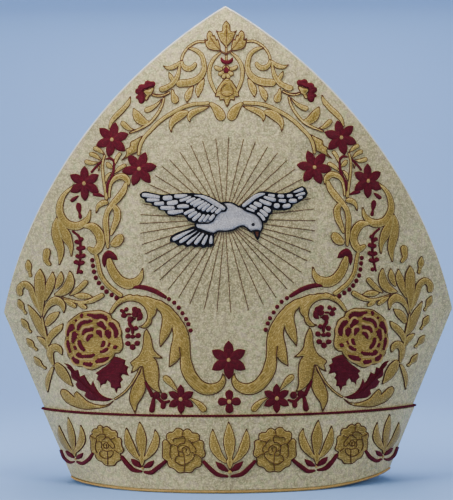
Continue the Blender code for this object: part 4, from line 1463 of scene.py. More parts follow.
PLANT_STROKES = {
    "drop 1": [(28.5, 260, 1), (29, 266, 6.4), (30, 272, 3), (31.4, 277.1, 3)],
    "drop 2": [(19, 299.5, 1), (21.1, 304.6, 6.4), (24.4, 310.5, 2.2), (26.4, 314.2, 3.2)],
    "drop 3": [(22.2, 319, 1), (25, 323.6, 6.2), (28.7, 329.4, 2.2), (31.1, 332.8, 3.2)],
    "drop 4": [(27.1, 338.6, 1), (30.4, 343, 6), (34.7, 348, 2.2), (37.7, 350.7, 3.2)],
    "drop 5": [(34.7, 357, 1), (38.5, 362, 6), (42.8, 366.4, 2.2), (46.1, 369, 3.2)],
    "knob": [(47.5, 248.6, 6.5), (46.8, 254.5, 6.8), (46.5, 260, 5.2), (50.5, 265.6, 2.6)],
    "stem": [(42.3, 316.5, 1.5), (44.5, 327, 2), (47.5, 338, 2), (50, 351, 2), (54, 365.5, 2)],
    "hook": [(21, 296, 5), (20.5, 288.5, 6.5), (25, 284.2, 6.2), (30.5, 287.5, 6), (34, 296, 5.2),
        (38, 307, 3.4), (41, 313.5, 1)],
    "tall leaf": [(40.8, 269, 0.5), (40.5, 276, 9), (40.8, 284, 10.6), (41, 295, 9.4),
        (41.6, 306, 5.4), (42.2, 316.5, 1)],
    "leaf b": [(53, 272, 0.5), (52.5, 279, 7), (50, 287, 8.4), (47.3, 294, 6.6), (45, 301, 2)],
    "leaf c": [(61.5, 271.5, 0.5), (61, 278, 6.4), (58.5, 285, 5), (56, 289, 1.5)],
    "leaf d": [(54.5, 294.6, 1), (61, 293, 6.5), (67, 289, 9.5), (70.5, 282, 9), (70.8, 276, 5.5),
        (70, 271, 0.6)],
    "leaf e": [(70, 295.5, 1), (77, 291, 4.6), (83, 285.5, 5.4), (87.3, 281, 4.8)],
    "leaf f": [(74, 295.5, 1), (80, 296, 5.5), (85.5, 296.2, 5.6), (93, 297.2, 0.4)],
    "leaf g": [(62, 297.2, 1), (71, 300.4, 2.2), (81.6, 302.6, 3), (91.5, 301, 4.6),
        (98.5, 297.6, 5.2), (104, 294.6, 4.6)],
    "leaf h": [(63.5, 299.2, 1), (70, 303, 4.6), (76.5, 307.2, 3.6)],
    "leaf i": [(78.5, 303.4, 2.4), (82.5, 305.6, 4.6), (87.2, 308.4, 2.6)],
    "leaf j": [(43.5, 317.5, 0.8), (46.5, 309, 4), (51.5, 302.8, 7), (57.5, 300.8, 8.4),
        (62, 304, 6.5), (64.2, 312.8, 0.5)],
    "leaf k": [(28.4, 304.7, 0.4), (33, 313, 6), (38, 322, 9), (43, 331, 8.6), (47, 337.5, 3)],
    "leaf l": [(59.3, 312, 0.5), (55.5, 315, 6), (50.5, 319.5, 8), (46.5, 326, 3.5)],
    "leaf m": [(63, 323.8, 0.5), (60.5, 327.5, 5), (55, 332.5, 7), (50.5, 339, 5.5),
        (49.5, 345, 2.5)],
    "leaf n": [(37.4, 336.8, 0.5), (42, 339.8, 5), (46.5, 344.5, 5), (49, 350, 2)],
    "leaf o": [(62.4, 354.8, 0.4), (60, 349.5, 6), (55, 347.5, 7.5), (51.5, 351.5, 7),
        (52, 358.5, 5), (53.8, 364.8, 2.4)],
    "leaf p": [(56.5, 363, 3), (60, 369, 9), (64.5, 375.5, 9), (69, 382, 5), (72.7, 386.3, 0.4)],
    "leaf q": [(53.8, 367, 2), (50, 375, 4.6), (48, 383, 4.4), (48.3, 392, 0.4)],
}
ROSE_HEART = (94.5, 342.0)
ROSE_OUTLINE = [(87.1, 311.4), (94, 310.7), (100.4, 310.3), (106.8, 312.6), (111, 314.9),
    (112.1, 318.3), (115.6, 320.2), (119, 323.4), (120.1, 328), (122, 332.1), (121.8, 337.1),
    (122.7, 341.7), (123.1, 345.9), (122, 350), (119.2, 352.8), (115.1, 353.7), (114.2, 356),
    (111.4, 359.6), (106.8, 363.3), (101.3, 366.5), (96.7, 368.8), (92.1, 370), (87.5, 368.6),
    (84.3, 366.8), (80.2, 366.8), (76.1, 364.7), (71.9, 360.1), (68.5, 356.4), (67.3, 351.8),
    (66.4, 347.7), (65.5, 343.1), (65.7, 339.4), (66.7, 334.4), (66, 330.7), (66.9, 326.6),
    (68.7, 322), (72.4, 318.3), (76.1, 315.8), (79.7, 313.3), (83.9, 311.9)]
ROSE_SHADES = {
    "top": [(87.5, 314.6, 1.4), (92.1, 315.6, 2.8), (96.7, 316.7, 3.7), (101.3, 316.5, 4.1),
        (105, 317.9, 4.1), (107.8, 320.6, 2.3)],
    "upper left, outer": [(83.9, 313.7, 1.4), (82, 316, 2.8), (83.4, 318.3, 1.4)],
    "upper left, small": [(75.6, 319.7, 1.7), (77.9, 321.1, 1.7)],
    "left, outer": [(71.9, 323.8, 2.3), (72.6, 327, 4.6), (70.6, 329.8, 3.2), (69, 333, 2.1),
        (68.7, 336.7, 1.4)],
    "left, outer, low": [(68.7, 339.9, 1.1), (69, 343.1, 2.3), (69.4, 346.3, 2.3),
        (70.3, 349.5, 1.8), (71.5, 352.8, 2.1)],
    "low left, outer": [(73.3, 356.9, 1.8), (75.6, 359.2, 3.2), (78.4, 361.5, 3.7),
        (80.2, 363.5, 1.8)],
    "foot, left": [(84.3, 363.1, 1.8), (87.5, 364, 2.8), (91.2, 364.2, 3.2), (94, 363.8, 2.8)],
    "foot, right": [(96.3, 362.4, 1.8), (99, 360.8, 3.2), (102.7, 360.1, 3.7), (106.4, 358.9, 2.8),
        (109.6, 356.9, 1.4)],
    "right, outer, low": [(114.6, 349.1, 1.8), (116, 346.8, 3.2), (118.1, 345.9, 1.4)],
    "right, outer": [(108.7, 323.4, 1.8), (111.4, 324.3, 3.7), (114.6, 328, 3.7),
        (116.5, 332.1, 3.7), (116.5, 335.8, 3.7), (115.1, 338.1, 1.4)],
    "second, upper left": [(78.8, 330.7, 1.4), (79.7, 326.6, 2.8), (82, 323.8, 2.8),
        (85.7, 322, 2.8), (89.4, 321.8, 2.3), (91.7, 320.6, 2.3), (93.1, 322, 0.9)],
    "second, upper right": [(97.6, 325.2, 1.8), (99.9, 323.8, 4.1), (102.2, 324.7, 4.6),
        (104.5, 327.5, 3.2), (106.4, 329.8, 2.8)],
    "second, right": [(106.8, 329.8, 2.8), (108.2, 332.5, 5.1), (109.1, 336.2, 3.7),
        (109.1, 339, 1.4)],
    "second, left": [(73.3, 332.5, 2.8), (75.6, 334.4, 4.6), (75.2, 337.6, 3.7), (73.8, 340.8, 2.3),
        (74.7, 343.6, 1.4)],
    "second, low left": [(75.6, 345.4, 1.4), (76.1, 347.7, 2.3), (77.9, 349.5, 1.8)],
    "third, left": [(80.2, 339.9, 2.3), (80.7, 343.1, 2.8), (82, 346.3, 2.8), (84.3, 349.1, 2.8),
        (86.2, 350.9, 1.4)],
    "second, foot": [(77.9, 353.2, 2.3), (79.7, 354.6, 3.7), (83, 356.4, 2.8), (87.5, 356.2, 2.3),
        (92.1, 356, 2.8), (95.8, 354.1, 1.4)],
    "second, low right": [(100.4, 351.8, 1.8), (103.6, 351.4, 2.3), (106.8, 349.5, 2.8),
        (108.7, 347.7, 1.4)],
    "right, small": [(110.5, 342.6, 1.4), (109.1, 345.4, 1.6), (108.7, 346.8, 1.1)],
    "inner, top": [(83.4, 335.3, 1.4), (84.8, 332.1, 2.8), (87.1, 330.3, 3.2), (90.3, 330, 2.8),
        (93.1, 328.9, 2.8), (94.4, 328, 0.9)],
    "inner, right": [(96.3, 332.1, 1.8), (98.6, 332.1, 3.7), (100.9, 333.5, 3.7),
        (101.6, 336.7, 2.3), (102, 338.1, 0.9)],
    "inner, low right": [(103.6, 340.4, 2.3), (104.1, 343.1, 2.8), (102.7, 345.9, 2.8),
        (100.9, 346.8, 1.4)],
    "heart": [(94, 335.3, 1.4), (91.2, 335.8, 2.8), (89.4, 337.6, 2.8), (88.5, 339.9, 2.3),
        (88.5, 341.7, 0.9)],
}
MAPLE_LEAF = [(114, 356.5), (118.2, 357.2), (125.8, 360.3), (124.7, 364.6), (128.5, 366.8),
    (127, 370.6), (129.1, 376), (122.6, 374.4), (121, 376.5), (123.1, 379.8), (120.4, 382.5),
    (121.5, 388), (118.2, 388.5), (116.6, 394), (114.4, 388.5), (110.6, 387.4), (110.1, 383),
    (107.4, 380.3), (105.7, 384.1), (102.5, 384.7), (100.3, 388.5), (99.2, 382), (96.5, 379.8),
    (98.2, 375.4), (95.4, 373.3), (99.8, 370), (108.5, 363.5)]
SERRATED_LEAF = [(63.4, 363), (69.4, 364.6), (74.8, 370.6), (78.6, 369.5), (80.3, 376.5),
    (84.6, 374.4), (88, 381), (91.1, 385.2), (93.3, 379.8), (95.4, 386.3), (101, 394),
    (108.5, 397.7), (115, 398.8), (106.3, 401.5), (97.6, 401), (89, 399.8), (84.1, 396.1),
    (85.7, 392.3), (77.5, 388.5), (74.8, 384.1), (77, 382), (71, 377.6), (70.5, 372.2),
    (66.2, 365.7)]
SERRATED_VEIN = [(68, 367), (80, 380), (92, 391), (107, 398.6)]
GROUND_LEAF = [(60.7, 391.5), (62.5, 389), (66, 390), (70, 393.2), (74.3, 397.2), (74.5, 393.5),
    (76.5, 391.5), (80.3, 394.6), (86.8, 400.6), (93, 403.6), (100, 405), (107.4, 404.6),
    (114, 400.6), (109, 405.4), (103, 407.6), (97.6, 408.4), (86.8, 409.3), (80, 408.4), (76, 407),
    (70, 404.4), (65.5, 400.8), (62, 396)]
ROSE_STEM = [(115, 399.3, 1.8), (122.6, 394, 1.8), (129.1, 387.4, 1.8), (134.5, 379.8, 1.8),
    (141, 366.8, 1.8)]

SPRIG = {
    "left stem": [(120, 309.6, 2.3), (122.3, 311.1, 2.3), (125, 312.6, 2.7)],
    "left bud, upper": [(125.4, 311.5, 1.5), (126.9, 309.2, 3.4), (128.6, 308.6, 3.8)],
    "left bud, lower": [(124.2, 312.6, 2.3), (124.2, 315.3, 4.2), (124.8, 318, 4.2)],
    "link": [(126.9, 314.2, 1.5), (131.5, 314.4, 1.5)],
    "petal 1": [(136.8, 312.6, 2.3), (135.3, 309.6, 4.2), (135.3, 306.5, 3.1)],
    "petal 2": [(136.8, 312.6, 2.3), (138.8, 310.3, 4.2), (139.9, 308.4, 4.2)],
    "petal 3": [(138, 315.3, 3.1), (141, 314.9, 5), (143, 314.7, 4.6)],
    "petal 4": [(138, 316.5, 3.4), (140.3, 318.4, 5.4), (141.4, 319.9, 4.6)],
    "flower's heart": [(136.8, 311.9, 5), (135.3, 314.2, 4.6), (133, 316.5, 5)],
    "lower petal": [(132.6, 316.8, 5), (131.5, 319.1, 7.3), (133, 321.4, 6.9)],
    "stem": [(129.6, 321.4, 3.1), (130, 324.5, 2.3), (131.9, 327.2, 2.3), (132.8, 329.9, 2.1),
        (132.8, 334.4, 1.7)],
    "berry 1": [(130, 328.3, 2.3), (127.7, 330.2, 3.4), (126.1, 332.1, 3.4)],
    "berry 2": [(134.2, 329.1, 2.3), (136.1, 328.3, 3.8), (136.8, 330.2, 4.2)],
    "berry 3": [(132.8, 334.4, 1.9), (132.8, 337.1, 4.2), (132.8, 338.7, 3.8)],
    "berry 4": [(130, 334.1, 1.5), (128, 336.4, 3.4), (127.3, 338.7, 3.8)],
    "berry 5": [(136.1, 334.1, 1.9), (138.4, 335.6, 3.8), (140.3, 337.5, 4.2)],
    "berry 6": [(130, 341.7, 1.9), (128, 344, 4.2), (127.3, 345.9, 4.6)],
    "berry 7": [(135.3, 341.3, 1.5), (137.2, 343.2, 3.8), (138.8, 345.5, 4.2)],
    "berry 8": [(132.8, 344, 1.9), (132.8, 347.5, 3.8), (132.8, 350.1, 4.2)],
}

S_SCROLL = [(111, 311), (114.6, 305), (118.5, 300.6), (122.2, 297.8), (126, 295.6), (130, 294.4),
    (133.5, 295.4), (137.5, 294.8), (141.5, 296.2), (146, 296), (150.5, 297.4), (156, 299.3),
    (161.5, 301), (166.6, 304), (170.8, 307), (174.3, 310.8), (178.4, 315.4), (182, 320.5),
    (184.6, 324.6), (186.5, 328.4), (188.6, 333.6), (189.8, 339.2), (190.3, 346), (190.5, 353),
    (191.2, 359.2), (193, 365.2), (195, 370.6), (198.2, 375.8), (201.4, 379.8), (205.2, 382.4),
    (210.5, 383.8), (215.8, 383), (219.4, 380.6), (221.6, 377.4), (222.5, 373.2), (225, 376.6),
    (225.8, 380.6), (225, 384.6), (223, 388.2), (219.2, 391.8), (214, 394.2), (206.4, 395),
    (200.6, 393.6), (195.7, 391), (191.6, 387.4), (188.1, 383.3), (185, 378.8), (182.7, 374.1),
    (181, 368.8), (180.4, 363.4), (180.6, 357.2), (176.4, 362.4), (169, 367.2), (169.4, 361.4),
    (169.8, 355.5), (170.4, 350), (171.4, 344.6), (172.6, 339.6), (173, 333.6), (172, 327.4),
    (170.8, 332), (168.2, 336.8), (164.6, 341.6), (160.2, 347.3), (159.6, 342), (159.7, 337.4),
    (160, 332.6), (160.8, 328.2), (161.8, 323.4), (162.2, 318.6), (161, 313.6), (156.7, 309),
    (156.6, 312), (155.6, 315), (152.2, 319), (151.6, 322.6), (149.6, 325.8), (146.6, 328),
    (143, 328.2), (139.1, 326.6), (143, 325), (145.8, 322), (147.3, 318.6), (147.5, 314.6),
    (146.4, 310.4), (144, 306.6), (140.6, 303.7), (136.8, 302), (132.8, 301.2), (129, 301.2),
    (125.2, 302.2), (121.2, 304.2), (117.6, 307), (113.6, 312)]
ACANTHUS = [(146.7, 329), (149.6, 334), (151.5, 339), (152.4, 344), (153.6, 349), (157, 353.4),
    (162.8, 358.2), (158, 358.2), (153.8, 357.4), (156.4, 361), (158, 365), (159, 371),
    (159.2, 377), (158.8, 382), (159.4, 388), (162, 393.4), (157, 391.6), (151.6, 388),
    (148.4, 384.6), (146, 380.4), (146.2, 386), (144.8, 392.4), (141.8, 398.4), (137.8, 404.7),
    (136.6, 409), (135.3, 413.1), (132.6, 407.6), (130.2, 401.6), (130, 395.4), (131.6, 389.4),
    (134.4, 383), (138, 376.6), (141, 370.8), (141.6, 366), (137, 370), (131, 373.3),
    (132.4, 369.6), (133.4, 366.4), (131.6, 365), (130.7, 362.4), (135, 359), (139.2, 355.5),
    (141.6, 351), (143, 346.2), (143.6, 341), (143.8, 335.6), (144.8, 331.6)]
SCROLL_VEINS = {
    "acanthus": [(143, 366), (144.2, 373), (145.8, 381)],
    "scroll": [(179.4, 347), (180.4, 352), (180.6, 357)],
}

ROPE = [(129, 287.8, 0.8), (136, 286.8, 4.2), (141.6, 287.2, 5), (154.4, 291, 5.2),
    (166.8, 298, 3.8)]
ROPE_BEADS = [(169, 299.1, 2.3), (174.3, 302.7, 2.3), (178.8, 307.7, 2.3), (182.4, 313.2, 2.3),
    (186.1, 319, 2.3), (188.4, 324.1, 2.3), (190.7, 330.5, 2.3)]
FOOT_SPRIG = {
    "stem": [(145.4, 381.5, 2.6), (149.4, 389.5, 3.4), (153.4, 397.5, 4.4)],
    "link": [(154.5, 395.5, 3.6), (158.5, 399, 3.4), (163, 402.6, 3.6), (170, 400.8, 2.6)],
    "left drop": [(153.7, 397.5, 3), (152.7, 405, 5), (151.8, 411, 5.6), (151.7, 412.8, 4.4)],
    "right drop": [(163.2, 401, 3.6), (163, 406, 5.6), (162.9, 409.2, 5)],
}
FOOT_BUDS = [(156.4, 395.5, 4), (163.9, 396.3, 3.8)]
FOOT_DROPS = {
    "rose stalk": [(110.6, 313.2, 3.2), (113.4, 308.6, 3.4), (117.6, 303.4, 4), (122.6, 299, 4.6)],
    "outer": [(164, 376.5, 5), (168.5, 380.5, 6.4), (173.5, 386, 3.8), (177.6, 391, 1.2)],
    "inner": [(189.6, 398, 1.2), (196, 401.8, 3.6), (201.5, 406.5, 6.2), (205.4, 411.4, 5.4)],
}

GROUND_RISE = 0.0003
WING_LIFT = 0.0007             # the wings lie over the body
BODY_LIFT = 0.0002
BODY_REACH = 0.004             # how far in from its edge the body reaches its full height
BODY_RISE = 1.2
EYE_LIFT = 0.0008
WING_LEFT = {
    # feathers of the dove's wing on the left, as they show between the dark lines
    "primary 1": [(142.2, 194.9, 2.8), (146, 195.2, 3.4), (160.4, 197.4, 2.2)],
    "primary 2": [(146.8, 199.8, 2.2), (150, 200, 2.7), (160.2, 199.9, 1.6)],
    "primary 3": [(154.3, 203.6, 2.6), (158, 203.7, 3.2), (164.8, 203.2, 2.6)],
    "primary 4": [(160.4, 207.7, 2.8), (166, 208, 3.5), (175.4, 208.3, 3)],
    "primary 5": [(167.6, 212.3, 2.8), (173, 212.4, 3.6), (184, 211, 2.2)],
    "block 1": [(162.8, 198.2, 4), (173, 197.9, 4.2)],
    "block 2": [(167, 203.5, 3.2), (173, 202.9, 4.2), (178.6, 201.8, 3)],
    "block 3": [(177.2, 206.7, 2.2), (184, 206.3, 3.5), (189.8, 206.5, 1.8)],
    "upper 1": [(174.3, 196.1, 2.8), (180, 196.4, 3.4), (188, 195.2, 1.4)],
    "upper 2": [(179.6, 201, 2.2), (185, 199.3, 2.8), (191.8, 196.5, 1.4)],
    "upper 3": [(186.3, 202.8, 2.2), (191, 200.2, 2.6), (196, 198, 1.6)],
    "upper 4": [(190.3, 204.8, 2.4), (195, 202.2, 2.8), (201.4, 198.8, 2)],
    "upper 5": [(193.3, 206.6, 2.4), (198, 204, 2.8), (204.6, 201, 2)],
    "upper 6": [(197.8, 209.2, 2.4), (203, 205.4, 2.8), (207.6, 202.2, 2)],
    "upper 7": [(202, 210.9, 2.4), (206.4, 207, 2.8), (210.3, 204, 2)],
    "upper 8": [(206.4, 212, 2.2), (210.6, 208.4, 2.6), (214.3, 205.6, 2)],
    "upper 9": [(211, 212.6, 2), (216.6, 207.6, 2)],
    "upper 10": [(215.4, 213.6, 2.8), (218.4, 211, 3.2), (220.8, 208.6, 2.6)],
    "lower 1": [(184, 214.4, 2.6), (189, 211.9, 2.8), (195.3, 209.3, 2)],
    "lower 2": [(188.4, 217.4, 2.8), (193, 214.4, 3), (197.6, 211.8, 2.2)],
    "lower 3": [(192.7, 220.6, 3), (197, 217, 3.2), (201, 213.2, 2.4)],
    "lower 4": [(198.8, 222.1, 2.4), (202, 218.4, 2.6), (204.8, 214.4, 2.2)],
    "lower 5": [(203.4, 222, 2.2), (207, 217.6, 2.6), (209.5, 214.6, 2)],
    "lower 6": [(209.2, 220.8, 2.8), (212, 217.6, 3.2), (214.6, 214.6, 2.6)],
    "leading roll": [(194, 195.4, 0.8), (200, 196.1, 1.8), (207, 198.6, 3.2), (214, 202.6, 4),
        (220.6, 206.6, 3.8), (225.2, 209.4, 3)],
}
WING_RIGHT = {
    "primary 1": [(303.1, 188.8, 2.8), (298, 190.6, 2.4), (292.4, 192.4, 1.4)],
    "primary 2": [(305, 193.1, 2.4), (299, 194.6, 2), (294.5, 195.9, 1.2)],
    "primary 3": [(302.4, 197, 2.4), (297, 198.3, 2)],
    "primary 4": [(296.6, 200.8, 2.8), (292, 200.8, 3.6), (288, 200.9, 2.6)],
    "primary 5": [(290.4, 205.4, 3), (286, 206, 3.8), (282, 206.8, 2.6)],
    "block 1": [(286, 196.1, 2.8), (292.6, 195.8, 2.8)],
    "block 2": [(277, 195.9, 2.2), (284, 196.4, 3)],
    "block 3": [(278, 200.5, 2.4), (286, 201.2, 3.2)],
    "block 4": [(273.4, 205.8, 4), (276.5, 205.8, 4.6), (279.6, 205.8, 4)],
    "upper 1": [(267.4, 194.9, 1.4), (271, 195.6, 2.4), (275, 196.3, 2.4)],
    "upper 2": [(263.2, 196.8, 1.8), (269, 198.7, 3), (275.8, 200.2, 3)],
    "upper 3": [(258.9, 199.8, 2), (265, 202.6, 3.4), (271.4, 204.7, 3.4)],
    "upper 4": [(253.3, 202.8, 2.4), (258, 204.6, 3.8), (261.8, 206, 3.2)],
    "upper 5": [(249.2, 205.4, 2), (254, 207.7, 2.8), (257, 209.2, 2.4)],
    "upper 6": [(246, 208.4, 1.6), (251, 210, 2), (254.8, 211.5, 1.6)],
    "lower 1": [(263, 207.2, 2.4), (267, 209.6, 4), (270.4, 212, 3.6)],
    "lower 2": [(259.4, 209.8, 2), (264, 213, 3.2), (267.4, 216.4, 3)],
    "lower 3": [(256.8, 212.8, 1.6), (261.4, 216, 2.4), (264.4, 220.8, 2.2)],
    "leading roll": [(242.2, 206.7, 2.6), (248.6, 201.8, 3.4), (255.4, 196.6, 3.4),
        (261.2, 194.4, 2.6), (265.2, 193.8, 1)],
}
TAIL = {
    "feather 1": [(172.6, 240, 3.4), (177, 237.8, 4.2), (186, 233, 2.8), (194.4, 228.9, 1.2)],
    "feather 2": [(179.4, 242.8, 2.8), (183.6, 240, 3.6), (191, 235, 2.2), (197.6, 230.4, 1.2)],
    "feather 3": [(187, 244.4, 2.8), (190.4, 241.4, 3.2), (196, 236.4, 2.2), (200.4, 232, 1.4)],
    "feather 4": [(194.8, 244.4, 3.4), (198.4, 240, 4), (202, 235.6, 2.8), (204, 232.8, 2)],
    "feather 5": [(202.6, 245, 3.4), (205, 240, 3.4), (207.6, 234.6, 2)],
    "feather 6": [(210.6, 244.2, 3.6), (211, 240, 3.2), (211.4, 235, 1.8)],
}
# The dark ground under the feathers, along the middle of its outer line
WING_LEFT_GROUND = [(140.7, 194.6), (143.6, 192.3), (152.2, 193.5), (162, 195.3), (172.9, 194.5),
    (183.8, 193.8), (195.9, 194.1), (203.9, 195.2), (211.4, 198.1), (218.2, 201.8), (225, 205.2),
    (227, 208.4), (225.4, 210.8), (221.1, 211.6), (215.8, 216), (212.5, 221.3), (209.6, 222.8),
    (203.9, 223.4), (198.1, 223.2), (193.6, 222.2), (187.8, 219), (186.1, 216.2), (182.6, 214.4),
    (168.9, 214.7), (166.6, 212.7), (165.4, 210.7), (159.7, 209.3), (158.5, 206.4), (153.9, 205.3),
    (152.2, 203), (146.5, 202.1), (145.3, 199.2), (141.3, 196.6)]
WING_RIGHT_GROUND = [(240.8, 206.1), (248.6, 199.5), (255.4, 194.4), (260.6, 192.3), (265.8, 192.3),
    (274.4, 193.5), (281.9, 194.1), (288.7, 192.9), (295.6, 189.5), (301.9, 186.8), (304.4, 188.6),
    (306.6, 193.2), (304.4, 197.2), (300.2, 200.1), (297.3, 202.4), (291.9, 203.8), (290.9, 207.1),
    (287, 209), (278.4, 209.6), (272, 209.2), (271.5, 212.7), (268.8, 215.3), (267.7, 218.5),
    (265.8, 222.3), (263.2, 222.3), (261.2, 219.6), (258.3, 216.2), (253.1, 213), (246.3, 211),
    (243, 208.6)]
TAIL_GROUND = [(194.1, 227.1), (186.7, 229.9), (175.2, 234.5), (170.8, 238.6), (170.8, 241.2),
    (176.3, 242.6), (178.3, 244.7), (183.8, 244.3), (186.7, 246.1), (191.8, 244.9), (195.3, 246.7),
    (199.9, 245.7), (203.3, 247.3), (207.3, 246), (210.8, 246.3), (213.1, 244.9), (213.6, 233.4),
    (204, 231.6)]
FEATHER_SPREAD = 0.85          # how far, in pixels, a wing's feather runs under its lines
TAIL_SPREAD = 0.2
DOVE_BODY = [(221, 203.2), (227, 202.4), (232.2, 203), (238, 206.2), (245, 208.8), (252, 211.6),
    (258, 216), (261.6, 221), (262.4, 227), (261, 231.4), (256, 230.6), (250.6, 231.6),
    (247, 228.4), (243.4, 226.2), (239.6, 226.8), (233, 230), (226, 231.2), (218.2, 231.4),
    (214, 233.4), (208.4, 232.4), (202, 230), (197, 228), (195, 224.4), (203, 218), (213, 212)]
DOVE_BEAK = [(253.6, 231), (257, 229.6), (259.8, 231.4), (259, 236), (257.6, 239.6), (255.4, 236)]
DOVE_EYE = (253, 224.6, 2.1)

RAY_CENTRE = (225.0, 219.0)
RAY_CIRCLE = (227.6, 225.0, 87.6)      # the place and the radius of the circle where they end
RAY_START = 8.0
# How each ray turns from the right, in degrees, upwards if positive
RAY_TURNS = [-1, -7.5, -14, -21, -27, -35, -43, -48.5, -57, -66, -75.5, -86.5, -95, -103, -112.5,
    -120.5, -129, -137, -143.5, -150, -156.5, -163, -170.5, -177, 177, 169.5, 155.5, 148, 140, 133,
    124, 115, 106, 96.5, 87.5, 77, 68.5, 59.5, 51.5, 43.5, 35.5, 27.5, 13.5, 6.5]
CENTRE_FLOWER = ((228.7, 360.0), 19.0, 90)
FOOT_FLOWER = ((229.3, 401.6), 11.5, 90)

BAND_AXIS = 229.6
LOTUS_CENTRE = {
    "middle leaf": [(228.5, 421.8, 0.3), (229, 430, 6.5), (229.3, 440, 11.5), (229.6, 450, 9.5),
        (229.9, 458, 4.5), (230, 465, 2.2)],
    "foot": [(229.9, 458.6, 8.6), (229.9, 462.6, 7), (229.9, 466.4, 3.6), (229.9, 469.6, 0.8)],
}
LOTUS_CENTRE_SIDE = [(212.7, 429.2, 0.3), (213, 437, 6), (214.5, 446, 9.5), (219.5, 455.5, 7),
    (226.5, 462.8, 2.4)]
LOTUS_CENTRE_BURGUNDY = {
    "leaf": [(215.5, 461.6, 0.8), (221, 466.6, 6.6), (228.6, 471.6, 2)],
    "festoon": [(202.9, 460.8, 3.4), (209.6, 468.1, 4.6), (217.4, 474.4, 4.8), (228.6, 476.6, 2.6)],
}
LOTUS_SECOND = {
    "middle leaf": [(139.8, 421.8, 0.3), (140.6, 429, 6), (141.3, 437.5, 10.4), (142, 447, 8.6),
        (142.6, 455, 4), (142.6, 461.5, 2)],
    "left leaf": [(126.6, 428, 0.3), (127.5, 435, 5), (129.5, 443.5, 8.4), (134, 452, 6.5),
        (139.5, 459, 2.4)],
    "right leaf": [(155.1, 429.6, 0.3), (156.5, 437, 5.5), (154.5, 446, 8.2), (149.5, 454, 6),
        (144.5, 460, 2)],
    "foot": [(142.4, 455.4, 8), (142.4, 459, 6.6), (142.4, 462.8, 3.4), (142.4, 466.4, 0.8)],
}
LOTUS_SECOND_BURGUNDY = {
    "festoon to the left": [(121.4, 455.6, 3), (127, 463.6, 4.2), (133.7, 470, 4.4),
        (142.4, 471.7, 2.2)],
    "festoon to the right": [(143.6, 471.7, 2.2), (150.4, 472.7, 4.4), (157.1, 468.4, 4.8),
        (166.6, 460.4, 3.4)],
    "left": [(131.3, 458.8, 0.8), (135.5, 462.6, 5.9), (141.8, 467.4, 2)],
    "right": [(154, 460.5, 0.8), (150.2, 464.2, 6), (143.6, 467.6, 2)],
}
LOTUS_OUTER = {
    "middle leaf": [(68.4, 417.3, 0.3), (70.5, 427.5, 5.5), (72.5, 438, 6.2), (73.5, 446, 4),
        (74, 453, 1.6)],
    "right leaf": [(81, 425.1, 0.3), (82.3, 433, 4.5), (82, 441, 7), (78.5, 448, 5.5),
        (75, 453, 1.5)],
    "left leaf": [(59.5, 425.7, 0.3), (61, 434, 5), (64.5, 442, 5.5), (69.5, 449, 4),
        (73.5, 453, 1.5)],
    "foot": [(74.2, 449.4, 5.4), (74.6, 451.8, 4.4), (75.1, 454, 2.6), (75.6, 456.2, 0.8)],
}
LOTUS_OUTER_BURGUNDY = {
    "festoon to the right": [(76.6, 461.3, 1.4), (82, 463.5, 3.6), (87.5, 460.6, 3.8),
        (93.8, 452.6, 3.2)],
    "festoon to the left": [(75, 461.4, 1.6), (71.2, 462.5, 2.8), (65.6, 459.2, 2.8),
        (61, 449.6, 2.4)],
    "left": [(66.3, 450.8, 0.8), (69.5, 454, 4.2), (74.4, 458, 1.6)],
    "right": [(83.2, 453, 0.8), (80.3, 456, 4.4), (76.6, 458.8, 1.6)],
}
BAND_KNOTS = [(75.6, 459.3, 1.4), (142.6, 468.4, 1.5)]
BAND_CENTRE_KNOT = (230, 472.2, 1.9)
BAND_ROSE_1 = [(92.6, 434.3), (92.3, 431.6), (93.6, 429.3), (97.3, 428.5), (98.3, 426),
    (100.6, 425.1), (102.6, 426.6), (103.9, 427.6), (106.2, 426.1), (109.2, 427.6), (112.2, 430.4),
    (115.2, 430.6), (117.5, 432.9), (117.5, 437.2), (119.8, 437.6), (121.8, 440.2), (121.8, 443.9),
    (122.5, 447.2), (123.8, 449.9), (122.8, 452.5), (120.2, 453.8), (121.5, 457.1), (120.8, 460.5),
    (117.2, 462.1), (114.8, 465.4), (111.2, 465.9), (107.2, 465.6), (104.6, 464.4), (101.9, 461.8),
    (98.3, 460.1), (95.9, 456.8), (95.6, 454.2), (92.6, 453.2), (91.3, 449.9), (91, 445.2),
    (91, 441.2), (90, 437.9), (90.6, 435.3)]
BAND_ROSE_1_LINES = [
    # the heart
    [(105.9, 442.9), (108.2, 442.3), (109.6, 444.6), (109.4, 447.5), (107.1, 448.6), (105, 446.9),
     (104.2, 444.6), (105.9, 442.9)],
    [(107.3, 443.8), (107.6, 447.8)],
    # petals round the heart
    [(97.2, 442.2), (99.6, 441.5), (103, 442.7), (102.5, 446.3), (103.5, 449.4)],
    [(97.3, 437.1), (99.6, 435.1), (104.2, 433.9), (106.8, 436), (105.9, 438.3), (103, 440.2)],
    [(105.9, 438.3), (109.4, 436.6), (111.1, 439.4), (114, 442.9), (115.7, 446.9), (114, 448.3),
     (110.5, 444.8)],
    [(101.3, 454.6), (100.8, 452), (104.2, 450.4), (108.4, 451.6), (112.8, 450.4), (114.6, 452.2),
     (112.8, 455.7), (108.8, 458.6), (103.6, 457.4), (100.2, 454.6)],
    [(108.6, 451.6), (108.9, 458.6), (108.8, 465.2)],
    # the outer petals
    [(103.1, 427), (104.2, 432.8)],
    [(91.2, 435.6), (94.4, 437.7), (97.6, 439.2), (97, 442.4), (96.4, 448.4), (98.2, 452.6)],
    [(111.5, 439.6), (116.2, 437.3)],
    [(115.4, 449.9), (117.6, 451.6), (119.6, 453.4)],
]
